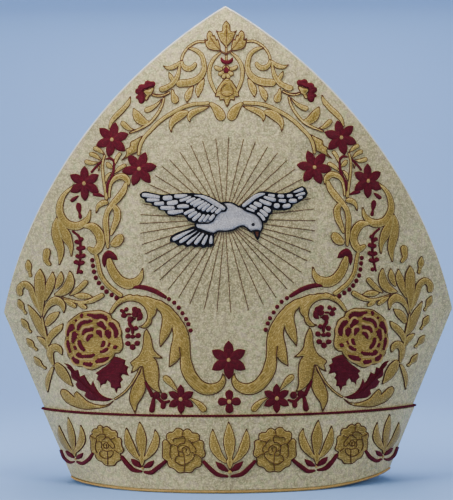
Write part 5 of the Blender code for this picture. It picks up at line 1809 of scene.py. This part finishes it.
BAND_ROSE_2 = [(162.7, 441.9), (163.6, 440.6), (166, 439.9), (167.5, 440.6), (166.6, 437.3),
    (167, 434.3), (169.6, 432.3), (172.6, 432.1), (174.3, 430.6), (175.9, 428.6), (178.6, 428.1),
    (181.2, 429), (183.5, 431.1), (185.9, 429.1), (188.5, 429), (190.8, 430.6), (192.5, 432.8),
    (195.1, 433), (197.8, 433.6), (199.5, 435.6), (199.5, 438.6), (199.5, 440.2), (201.8, 440.4),
    (203.8, 442.2), (204.1, 445.6), (203.8, 448.5), (204.8, 451.5), (205.4, 454.5), (204.4, 456.8),
    (201.9, 458.2), (202.1, 459.1), (201.8, 461.8), (201.8, 464.5), (199.8, 466.8), (196.5, 467.8),
    (194.2, 469.4), (192.5, 471.7), (189.8, 472.7), (184.5, 472.1), (181.2, 472.9), (177.9, 472.1),
    (175.6, 470.1), (173.3, 468.4), (170.3, 467.4), (168, 464.5), (167.5, 461.5), (165, 459.8),
    (162.8, 457.5), (162.5, 453.8), (162.8, 449.2), (162.7, 445.2)]
BAND_ROSE_2_LINES = [
    [(167.5, 440.2), (169.6, 442.6), (171.4, 444.9)],
    [(171.4, 444.9), (173.9, 444.4), (176.2, 445.4), (178.2, 446.9)],
    [(171.4, 444.9), (170.4, 447.2), (170.6, 450.5), (170.3, 453.8), (170.9, 456.8),
     (172.8, 458.8)],
    [(173.3, 441.2), (174.3, 438.9), (176.6, 437.9), (179.6, 437.6), (181.6, 436.8), (183.9, 436.4),
     (185.4, 438.3), (185.4, 440.9), (184.5, 443.2)],
    [(184.5, 443.2), (181.6, 443.2), (179.2, 444.9), (178.2, 446.9), (178.4, 450.2), (178.6, 452.8),
     (179.4, 455.5), (180.6, 456.7)],
    [(183.2, 431.3), (182.9, 433.9), (182.2, 436.6)],
    [(188.2, 439.6), (190.2, 440.6), (191.5, 442.6), (193.5, 445.6), (195.8, 447.9), (196.5, 450.5),
     (195.3, 452.5)],
    [(191.5, 442.6), (194.8, 441.6), (199.1, 440.2)],
    [(178.7, 450.5), (181.2, 451.5), (182.9, 452.2)],
    [(184.5, 446.9), (183.2, 447.5), (182.2, 449.9), (182.9, 452.2), (184.2, 453.5), (184.5, 456.5),
     (184.9, 459.1)],
    [(184.5, 446.9), (186.5, 446.2), (188.8, 447.2), (190.2, 449.5), (190.2, 451.5), (191.8, 451.9),
     (194.5, 453.8), (194.8, 455.8), (193.2, 458.5), (190.8, 460.8), (188.5, 463.1),
     (185.5, 463.5)],
    [(185.9, 447.9), (187.2, 450.2), (185.5, 451.5)],
    [(190.3, 453.5), (188.8, 454.8), (186.5, 455.3)],
    [(180.6, 456.7), (183.2, 456.5), (184.5, 456.5)],
    [(179.4, 455.5), (176.9, 456.7), (175.3, 459.1), (175.9, 461.8), (178.6, 463.5), (181.6, 465.1),
     (184.5, 465.8)],
    [(184.7, 459.1), (185.2, 462.1), (185.2, 465.8), (184.7, 468.8), (184.5, 472.1)],
    [(194.8, 454.2), (197.5, 454.5), (199.8, 456.5), (201.9, 458.2)],
]


# ---------------------------------------------------------------- embroidered pieces

def worked(edging):
    """Empty gold and burgundy stitches that share an edging."""
    return Stitches(edging, edging.proud), Stitches(None, edging.proud)


def make_top():
    """The scrollwork under the tip, both halves as one."""
    brown = Edging(threads().outline)
    half = Stitches(brown)
    half.strokes(TOP_STROKES)
    half.patch(TOP_SIDE_LEAF)
    brown.vein(SIDE_LEAF_VEIN, radius=threads().vein)
    half.make("tip_scrolls", "gold satin", sides=BOTH)
    brown.make("tip_scroll_edging", "brown thread", sides=BOTH)
    brown = Edging(threads().outline)
    middle = Stitches(brown)
    middle.stroke(TOP_STEM)
    middle.patch(whole(TIP_LEAF, TIP_AXIS))
    middle.patch(whole(HEART_LEAF, HEART_AXIS))
    for line in (TIP_VEIN, whole(HEART_LINE, HEART_AXIS)):
        brown.vein(line, radius=threads().vein)
    buds = Stitches()
    buds.strokes(TOP_BUDS)
    middle.make("tip_leaf", "gold satin", ["finial_leaf"])
    brown.make("tip_leaf_edging", "brown thread")
    buds.make("tip_buds", "burgundy satin")


def make_pair(name, finish, stitches, stands_for=None):
    """The charted piece on the left and its mirror on the right."""
    for sides, word in ((DRAWN, "left"), (MIRRORED, "right")):
        nodes = [f"{stands_for}_{word}"] if stands_for else []
        stitches.make(f"{name}_{word}", finish, nodes, sides)


def make_arch():
    brown = Edging(threads().outline)
    gold, _ = worked(brown)
    gold.strokes(ARCH_STROKES)
    gold.patch(ARCH_SERRATED_LEAF, grain=35)
    make_pair("arch_leaves", "gold satin", gold, "arch_scroll")
    brown.make("arch_edging", "brown thread", sides=BOTH)


def make_upper_flowers():
    brown = Edging(threads().outline)
    gold, burgundy = worked(brown)
    gold.strokes(UPPER_GOLD)
    gold.patch(CARNATION_CUP)
    burgundy.strokes(UPPER_BURGUNDY)
    burgundy.patch(CARNATION)
    make_pair("upper_leaves", "gold satin", gold)
    make_pair("carnation", "burgundy satin", burgundy)
    brown.make("upper_edging", "brown thread", sides=BOTH)
    knots = Stitches()
    for name, (place, radius, start) in FLOWERS.items():
        petals = Stitches()
        petals.flower(place, radius, PETALS, start)
        knots.bead(*place, KNOT_RADIUS, rise=threads().rise * KNOT_RISE)
        petals.make(name + "_petals", "burgundy satin", [name])
        twin = name.replace("left", "right")
        petals.make(twin + "_petals", "burgundy satin", [twin], sides=MIRRORED)
    knots.make("flower_knots", "pale gold knots", sides=BOTH)


def make_crescents():
    brown = Edging(threads().outline)
    gold, burgundy = worked(brown)
    gold.strokes(CRESCENT_STROKES)
    burgundy.strokes(CRESCENT_BURGUNDY)
    for x, y, radius in BERRIES:
        burgundy.stroke([(BERRY_STEM, y + STALK_FOOT, STALK_START),
                         ((BERRY_STEM + x) / 2, y + STALK_BEND, radius * STALK_SPREAD),
                         (x, y, radius * BERRY_SPREAD)])
    burgundy.beads([(x, y, radius * BEAD_SPREAD) for x, y, radius in PEARLS])
    burgundy.patch(LOW_BUD)
    make_pair("crescent_leaves", "gold satin", gold, "crescent_scroll")
    make_pair("crescent_buds", "burgundy satin", burgundy)
    brown.make("crescent_edging", "brown thread", sides=BOTH)


def make_plants():
    brown = Edging(threads().outline)
    gold, _ = worked(brown)
    gold.strokes(PLANT_STROKES)
    make_pair("side_plant", "gold satin", gold)
    brown.make("side_plant_edging", "brown thread", sides=BOTH)


def ragged(rows):
    """The rows of a shade, with long and short stitches by turns along its edges."""
    rows = np.asarray(rows, float)
    run = travelled(rows[:, :2])
    at = np.linspace(0.0, run[-1], max(round(run[-1] / SHADE_PACE), 2) + 1)
    drawn = eased(rows, run, at)
    drawn[:, 2] *= SHADE_SPREAD
    drawn[1:-1:2, 2] *= LONG_STITCH
    drawn[2:-1:2, 2] *= SHORT_STITCH
    return drawn


def rimmed(rows):
    """The rows of a petal's rim, outside a shade as seen from the rose's heart."""
    rows = np.asarray(rows, float)
    out = unit(rows[:, :2] - np.array(ROSE_HEART))
    off = rows[:, 2:] * SHADE_SPREAD / 2 + RIM_SPREAD * RIM_OFF
    width = np.full(len(rows), RIM_SPREAD)
    width[[0, -1]] = RIM_SPREAD * RIM_ENDS
    return np.column_stack([rows[:, :2] + out * off, width])


def make_roses():
    """The large roses: gold petals with burgundy shades on them, and what grows round them."""
    brown = Edging(threads().outline)
    petals = Stitches(brown)
    petals.patch(ROSE_OUTLINE)
    shades = Stitches(lift=SHADE_LIFT)
    rims = Stitches(lift=RIM_LIFT)
    for rows in ROSE_SHADES.values():
        shades.stroke(ragged(rows), rise=SHADE_RISE)
        if len(rows) > RIM_SHADES:
            rims.stroke(rimmed(rows))
    leaves = Stitches()
    leaves.patch(MAPLE_LEAF)
    leaves.patch(SERRATED_LEAF, grain=40)
    sprig = Stitches()
    for rows in SPRIG.values():
        sprig.stroke([(x, y, width * SPRIG_SPREAD) for x, y, width in rows])
    stems = Stitches(brown)
    stems.patch(GROUND_LEAF, grain=20)
    stems.stroke(ROSE_STEM)
    make_pair("rose_petals", "gold satin", petals, "rose")
    make_pair("rose_shades", "burgundy satin", shades)
    make_pair("rose_rims", "pale gold knots", rims)
    make_pair("rose_leaves", "burgundy satin", leaves)
    make_pair("rose_sprig", "burgundy satin", sprig)
    make_pair("ground_leaf", "gold satin", stems)
    brown.make("rose_edging", "brown thread", sides=BOTH)
    vein = Edging(threads().vein)
    vein.vein(SERRATED_VEIN)
    vein.make("leaf_veins", "burgundy satin", sides=BOTH, slotted=False)


def make_scrolls():
    brown = Edging(threads().outline)
    gold, burgundy = worked(brown)
    gold.patch(S_SCROLL, grain=50)
    gold.patch(ACANTHUS, grain=90)
    gold.strokes(FOOT_DROPS)
    for line in SCROLL_VEINS.values():
        brown.vein(line)
    burgundy.stroke(ROPE)
    burgundy.beads(ROPE_BEADS)
    burgundy.strokes(FOOT_SPRIG)
    burgundy.beads(FOOT_BUDS)
    make_pair("scroll_leaves", "gold satin", gold, "scroll")
    make_pair("scroll_sprigs", "burgundy satin", burgundy)
    brown.make("scroll_edging", "brown thread", sides=BOTH)


def make_middle_flowers():
    knots = Stitches()
    for name, (place, radius, start), petals, shape in (
            ("flower_centre", CENTRE_FLOWER, PETALS, PETAL),
            ("flower_foot", FOOT_FLOWER, FOOT_PETALS, BLUNT_PETAL)):
        work = Stitches()
        work.flower(place, radius, petals, start, shape)
        work.make(name + "_petals", "burgundy satin", [name])
        knots.bead(*place, KNOT_RADIUS, rise=threads().rise * KNOT_RISE)
    knots.make("middle_knots", "pale gold knots")


def feathers(edging, chart, lift, spread):
    """Feathers that run a little way under the lines between them."""
    made = Stitches(edging, lift=lift)
    for rows in chart.values():
        made.stroke([(x, y, width + spread) for x, y, width in rows])
    return made


def make_dove():
    """The dove's body, tail and wings: feathers on a dark ground, edged in dark thread."""
    dark = Edging(threads().dark_outline)
    lines = Edging(threads().feather_line)
    ground = Stitches(dark)
    ground.patch(TAIL_GROUND, rise=GROUND_RISE)
    tail = feathers(lines, TAIL, GROUND_RISE, TAIL_SPREAD)
    body = Stitches(dark, lift=BODY_LIFT)
    body.patch(DOVE_BODY, grain=20, reach=BODY_REACH, rise=threads().rise * BODY_RISE)
    ground.lift = WING_LIFT
    ground.patch(WING_LEFT_GROUND, rise=GROUND_RISE)
    ground.patch(WING_RIGHT_GROUND, rise=GROUND_RISE)
    over = WING_LIFT + GROUND_RISE
    wings = feathers(lines, WING_LEFT, over, FEATHER_SPREAD)
    wings.parts += feathers(lines, WING_RIGHT, over, FEATHER_SPREAD).parts
    beak = Stitches(dark)
    beak.patch(DOVE_BEAK)
    eye = Stitches(lift=EYE_LIFT)
    eye.bead(*DOVE_EYE)
    body.parts += tail.parts
    dark.parts += lines.parts + ground.parts
    body.make("dove_body", "silver satin", ["dove"])
    wings.make("dove_wings", "silver satin")
    beak.make("dove_beak", "brown thread")
    eye.make("dove_eye", "dark thread")
    dark.make("dove_edging", "dark thread")


def make_rays():
    """Thin rays from the dove out to a circle."""
    rays = Edging(threads().ray)
    start = np.array(RAY_CENTRE)
    middle, reach = np.array(RAY_CIRCLE[:2]), RAY_CIRCLE[2]
    off = start - middle
    for turn in np.radians(RAY_TURNS):
        way = np.array([math.cos(turn), -math.sin(turn)])
        along = -off @ way
        length = along + math.sqrt(along ** 2 - off @ off + reach ** 2)
        rays.vein([start + way * RAY_START, start + way * length], rise=0.0)
    rays.make("rays", "ray thread")


def make_band_work():
    """Lotuses, roses and festoons on the head band."""
    cut = form()
    proud = cut.gap + cut.band_wall
    brown = Edging(threads().outline, proud)
    middle = Stitches(brown, proud)
    middle.stroke(LOTUS_CENTRE_SIDE)
    middle.stroke([(2 * BAND_AXIS - x, y, width) for x, y, width in LOTUS_CENTRE_SIDE])
    middle.strokes(LOTUS_CENTRE)
    middle.bead(*BAND_CENTRE_KNOT)
    middle.make("lotus_3_leaves", "gold satin", ["band_lotus_3"])
    brown.make("lotus_3_edging", "brown thread")
    brown = Edging(threads().outline, proud)
    burgundy = Stitches(None, proud)
    burgundy.strokes(LOTUS_CENTRE_BURGUNDY)
    for chart, buds, left, right in ((LOTUS_OUTER, LOTUS_OUTER_BURGUNDY, 1, 5),
                                     (LOTUS_SECOND, LOTUS_SECOND_BURGUNDY, 2, 4)):
        gold = Stitches(brown, proud)
        gold.strokes(chart)
        burgundy.strokes(buds)
        for number, sides in ((left, DRAWN), (right, MIRRORED)):
            gold.make(f"lotus_{number}_leaves", "gold satin", [f"band_lotus_{number}"], sides)
    for outline, lines, left, right in ((BAND_ROSE_1, BAND_ROSE_1_LINES, 1, 4),
                                        (BAND_ROSE_2, BAND_ROSE_2_LINES, 2, 3)):
        gold = Stitches(brown, proud)
        gold.patch(outline)
        for line in lines:
            brown.vein(line, radius=threads().vein)
        for number, sides in ((left, DRAWN), (right, MIRRORED)):
            gold.make(f"band_rose_{number}_petals", "gold satin", [f"band_rose_{number}"], sides)
    brown.make("band_edging", "brown thread", sides=BOTH)
    burgundy.make("band_buds", "burgundy satin", sides=BOTH)
    knots = Stitches(None, proud)
    knots.beads(BAND_KNOTS)
    knots.make("band_knots", "pale gold knots", sides=BOTH)


# ---------------------------------------------------------------- stage

def aim(thing, target):
    direction = Vector(target) - thing.location
    thing.rotation_euler = direction.to_track_quat("-Z", "Y").to_euler()


def add_light(name, energy, size, spot, target):
    bpy.ops.object.light_add(type="AREA", location=spot)
    lamp = bpy.context.active_object
    lamp.name = name
    lamp.data.energy, lamp.data.size = energy, size
    aim(lamp, target)


LIGHTS = {
    # size, place and the place that it is aimed at
    "top": (0.16, (-0.05, -0.17, 0.46), (0.0, -0.05, 0.29)),
    "front": (0.6, (0.0, -1.9, 0.25), (0.0, 0.0, 0.03)),
    "left": (0.5, (-1.3, -0.36, 0.25), (0.0, 0.0, 0.04)),
    "right": (0.8, (1.3, -0.3, 0.3), (0.0, 0.0, 0.12)),
    "rear": (0.5, (0.0, 0.2, 0.8), (0.0, 0.9, 0.0)),
    "back": (0.8, (0.0, 1.3, 0.9), (0.0, 0.0, 0.12)),
}
SURROUND = (0.93, 0.93, 0.92, 1.0)
FLOOR_HALF = 4.5
FLOOR_COLUMNS, FLOOR_ROWS = 2, 96
SWEEP_START = 0.75             # how far behind the mitre the floor begins to sweep up
SWEEP_RADIUS = 0.9
SWEEP_TOP = 3.0


def make_floor():
    """A plain floor that sweeps up behind the mitre, and is seen through from behind."""
    floor, across, up = add_grid(FLOOR_COLUMNS, FLOOR_ROWS)
    floor.name = "floor"
    run = -FLOOR_HALF + up * (FLOOR_HALF + SWEEP_START + SWEEP_RADIUS * math.pi / 2 + SWEEP_TOP)
    turn = np.clip((run - SWEEP_START) / SWEEP_RADIUS, 0.0, math.pi / 2)
    wall = np.maximum(run - SWEEP_START - SWEEP_RADIUS * math.pi / 2, 0.0)
    y = np.minimum(run, SWEEP_START) + SWEEP_RADIUS * np.sin(turn)
    z = SWEEP_RADIUS * (1 - np.cos(turn)) + wall
    place(floor, np.stack([across * FLOOR_HALF, y, z], axis=-1), np.stack([across, run], axis=-1))
    soften()
    made = Finish("backdrop paint")
    behind = Amount(made, made.node("ShaderNodeNewGeometry").outputs["Backfacing"])
    made.surface(Base_Color=bpy.context.scene.mitre_studio.floor, Roughness=0.85,
                 Alpha=1 - behind)
    floor.data.materials.append(made.material)


def make_stage():
    studio = bpy.context.scene.mitre_studio
    make_floor()
    for name, (size, spot, target) in LIGHTS.items():
        add_light(name + " light", getattr(studio, name), size, spot, target)
    world = bpy.data.worlds.new("surround")
    bpy.context.scene.world = world
    world.use_nodes = True
    ground = world.node_tree.nodes["Background"]
    ground.inputs[0].default_value = SURROUND
    ground.inputs[1].default_value = studio.sky
    bpy.ops.object.camera_add(location=(-PIXEL, -studio.distance, studio.camera_height),
                              rotation=(math.pi / 2, ROLL, 0.0))
    camera = bpy.context.active_object
    camera.data.lens = LENS_PIXELS * SENSOR / max(PICTURE)
    camera.data.sensor_width = SENSOR
    bpy.context.scene.camera = camera


# ---------------------------------------------------------------- operators

class MITRE_OT_panels(bpy.types.Operator):
    """Dress both stiff horn panels in damask"""
    bl_idname = "mitre.panels"
    bl_label = "Horn panels"

    def execute(self, context):
        make_panel("front_panel", back=False)
        make_panel("back_panel", back=True)
        return {"FINISHED"}


class MITRE_OT_bands(bpy.types.Operator):
    """Dress the head band, front and back"""
    bl_idname = "mitre.bands"
    bl_label = "Head bands"

    def execute(self, context):
        make_band("front_band", back=False)
        make_band("back_band", back=True)
        return {"FINISHED"}


class MITRE_OT_gusset(bpy.types.Operator):
    """Hang the soft cloth between the horns"""
    bl_idname = "mitre.gusset"
    bl_label = "Gusset"

    def execute(self, context):
        make_gusset()
        return {"FINISHED"}


class MITRE_OT_stage(bpy.types.Operator):
    """Set the floor, the lights and the camera"""
    bl_idname = "mitre.stage"
    bl_label = "Stage"

    def execute(self, context):
        make_stage()
        return {"FINISHED"}


class MITRE_OT_cords(bpy.types.Operator):
    """Lay the burgundy cord and the gold pipings"""
    bl_idname = "mitre.cords"
    bl_label = "Cords and pipings"

    def execute(self, context):
        make_cords()
        return {"FINISHED"}


class MITRE_OT_lappets(bpy.types.Operator):
    """Lay both lappets back on the surface"""
    bl_idname = "mitre.lappets"
    bl_label = "Lappets"

    def execute(self, context):
        make_lappet("lappet_left", -1)
        make_lappet("lappet_right", 1)
        return {"FINISHED"}


class MITRE_OT_top(bpy.types.Operator):
    """Stitch the scrollwork under the tip"""
    bl_idname = "mitre.top"
    bl_label = "Tip scrollwork"

    def execute(self, context):
        make_top()
        return {"FINISHED"}


class MITRE_OT_arch(bpy.types.Operator):
    """Stitch the arch of leaves over the dove"""
    bl_idname = "mitre.arch"
    bl_label = "Arch leaves"

    def execute(self, context):
        make_arch()
        return {"FINISHED"}


class MITRE_OT_upper_flowers(bpy.types.Operator):
    """Stitch the flowers and sprigs beside the arch"""
    bl_idname = "mitre.upper_flowers"
    bl_label = "Upper flowers"

    def execute(self, context):
        make_upper_flowers()
        return {"FINISHED"}


class MITRE_OT_crescents(bpy.types.Operator):
    """Stitch the crescent scrolls"""
    bl_idname = "mitre.crescents"
    bl_label = "Crescents"

    def execute(self, context):
        make_crescents()
        return {"FINISHED"}


class MITRE_OT_plants(bpy.types.Operator):
    """Stitch the tall plants at the sides"""
    bl_idname = "mitre.plants"
    bl_label = "Side plants"

    def execute(self, context):
        make_plants()
        return {"FINISHED"}


class MITRE_OT_roses(bpy.types.Operator):
    """Stitch the large roses and their leaves"""
    bl_idname = "mitre.roses"
    bl_label = "Roses"

    def execute(self, context):
        make_roses()
        return {"FINISHED"}


class MITRE_OT_scrolls(bpy.types.Operator):
    """Stitch the great scrolls and the acanthus"""
    bl_idname = "mitre.scrolls"
    bl_label = "Great scrolls"

    def execute(self, context):
        make_scrolls()
        return {"FINISHED"}


class MITRE_OT_middle_flowers(bpy.types.Operator):
    """Stitch the flowers on the centre line"""
    bl_idname = "mitre.middle_flowers"
    bl_label = "Centre flowers"

    def execute(self, context):
        make_middle_flowers()
        return {"FINISHED"}


class MITRE_OT_rays(bpy.types.Operator):
    """Stitch the rays round the dove"""
    bl_idname = "mitre.rays"
    bl_label = "Rays"

    def execute(self, context):
        make_rays()
        return {"FINISHED"}


class MITRE_OT_dove(bpy.types.Operator):
    """Stitch the dove"""
    bl_idname = "mitre.dove"
    bl_label = "Dove"

    def execute(self, context):
        make_dove()
        return {"FINISHED"}


class MITRE_OT_band_work(bpy.types.Operator):
    """Stitch the head band's lotuses and roses"""
    bl_idname = "mitre.band_work"
    bl_label = "Band embroidery"

    def execute(self, context):
        make_band_work()
        return {"FINISHED"}


OPERATORS = [MITRE_OT_stage, MITRE_OT_panels, MITRE_OT_bands, MITRE_OT_gusset, MITRE_OT_cords,
             MITRE_OT_lappets, MITRE_OT_top, MITRE_OT_arch, MITRE_OT_upper_flowers,
             MITRE_OT_crescents, MITRE_OT_plants, MITRE_OT_roses, MITRE_OT_scrolls,
             MITRE_OT_middle_flowers, MITRE_OT_rays, MITRE_OT_dove, MITRE_OT_band_work]


class MITRE_PT_panel(bpy.types.Panel):
    """The mitre's pieces and sizes"""
    bl_label = "Mitre"
    bl_idname = "MITRE_PT_panel"
    bl_space_type = "VIEW_3D"
    bl_region_type = "UI"
    bl_category = "Mitre"

    def draw(self, context):
        for group in GROUPS:
            box = self.layout.box()
            settings = getattr(context.scene, group)
            for name in settings.bl_rna.properties.keys():
                if name not in ("rna_type", "name"):
                    box.prop(settings, name)
        for operator in OPERATORS:
            self.layout.operator(operator.bl_idname)


GROUPS = {"mitre_form": MitreForm, "mitre_stitches": MitreStitches,
          "mitre_colours": MitreColours, "mitre_studio": MitreStudio}


def register():
    for kind in (*GROUPS.values(), *OPERATORS, MITRE_PT_panel):
        bpy.utils.register_class(kind)
    for name, kind in GROUPS.items():
        setattr(bpy.types.Scene, name, PointerProperty(type=kind))


def unregister():
    for name in GROUPS:
        delattr(bpy.types.Scene, name)
    for kind in (*GROUPS.values(), *OPERATORS, MITRE_PT_panel):
        bpy.utils.unregister_class(kind)


def main():
    register()
    for operator in OPERATORS:
        group, action = operator.bl_idname.split(".")
        getattr(getattr(bpy.ops, group), action)()


if __name__ == "__main__":
    main()
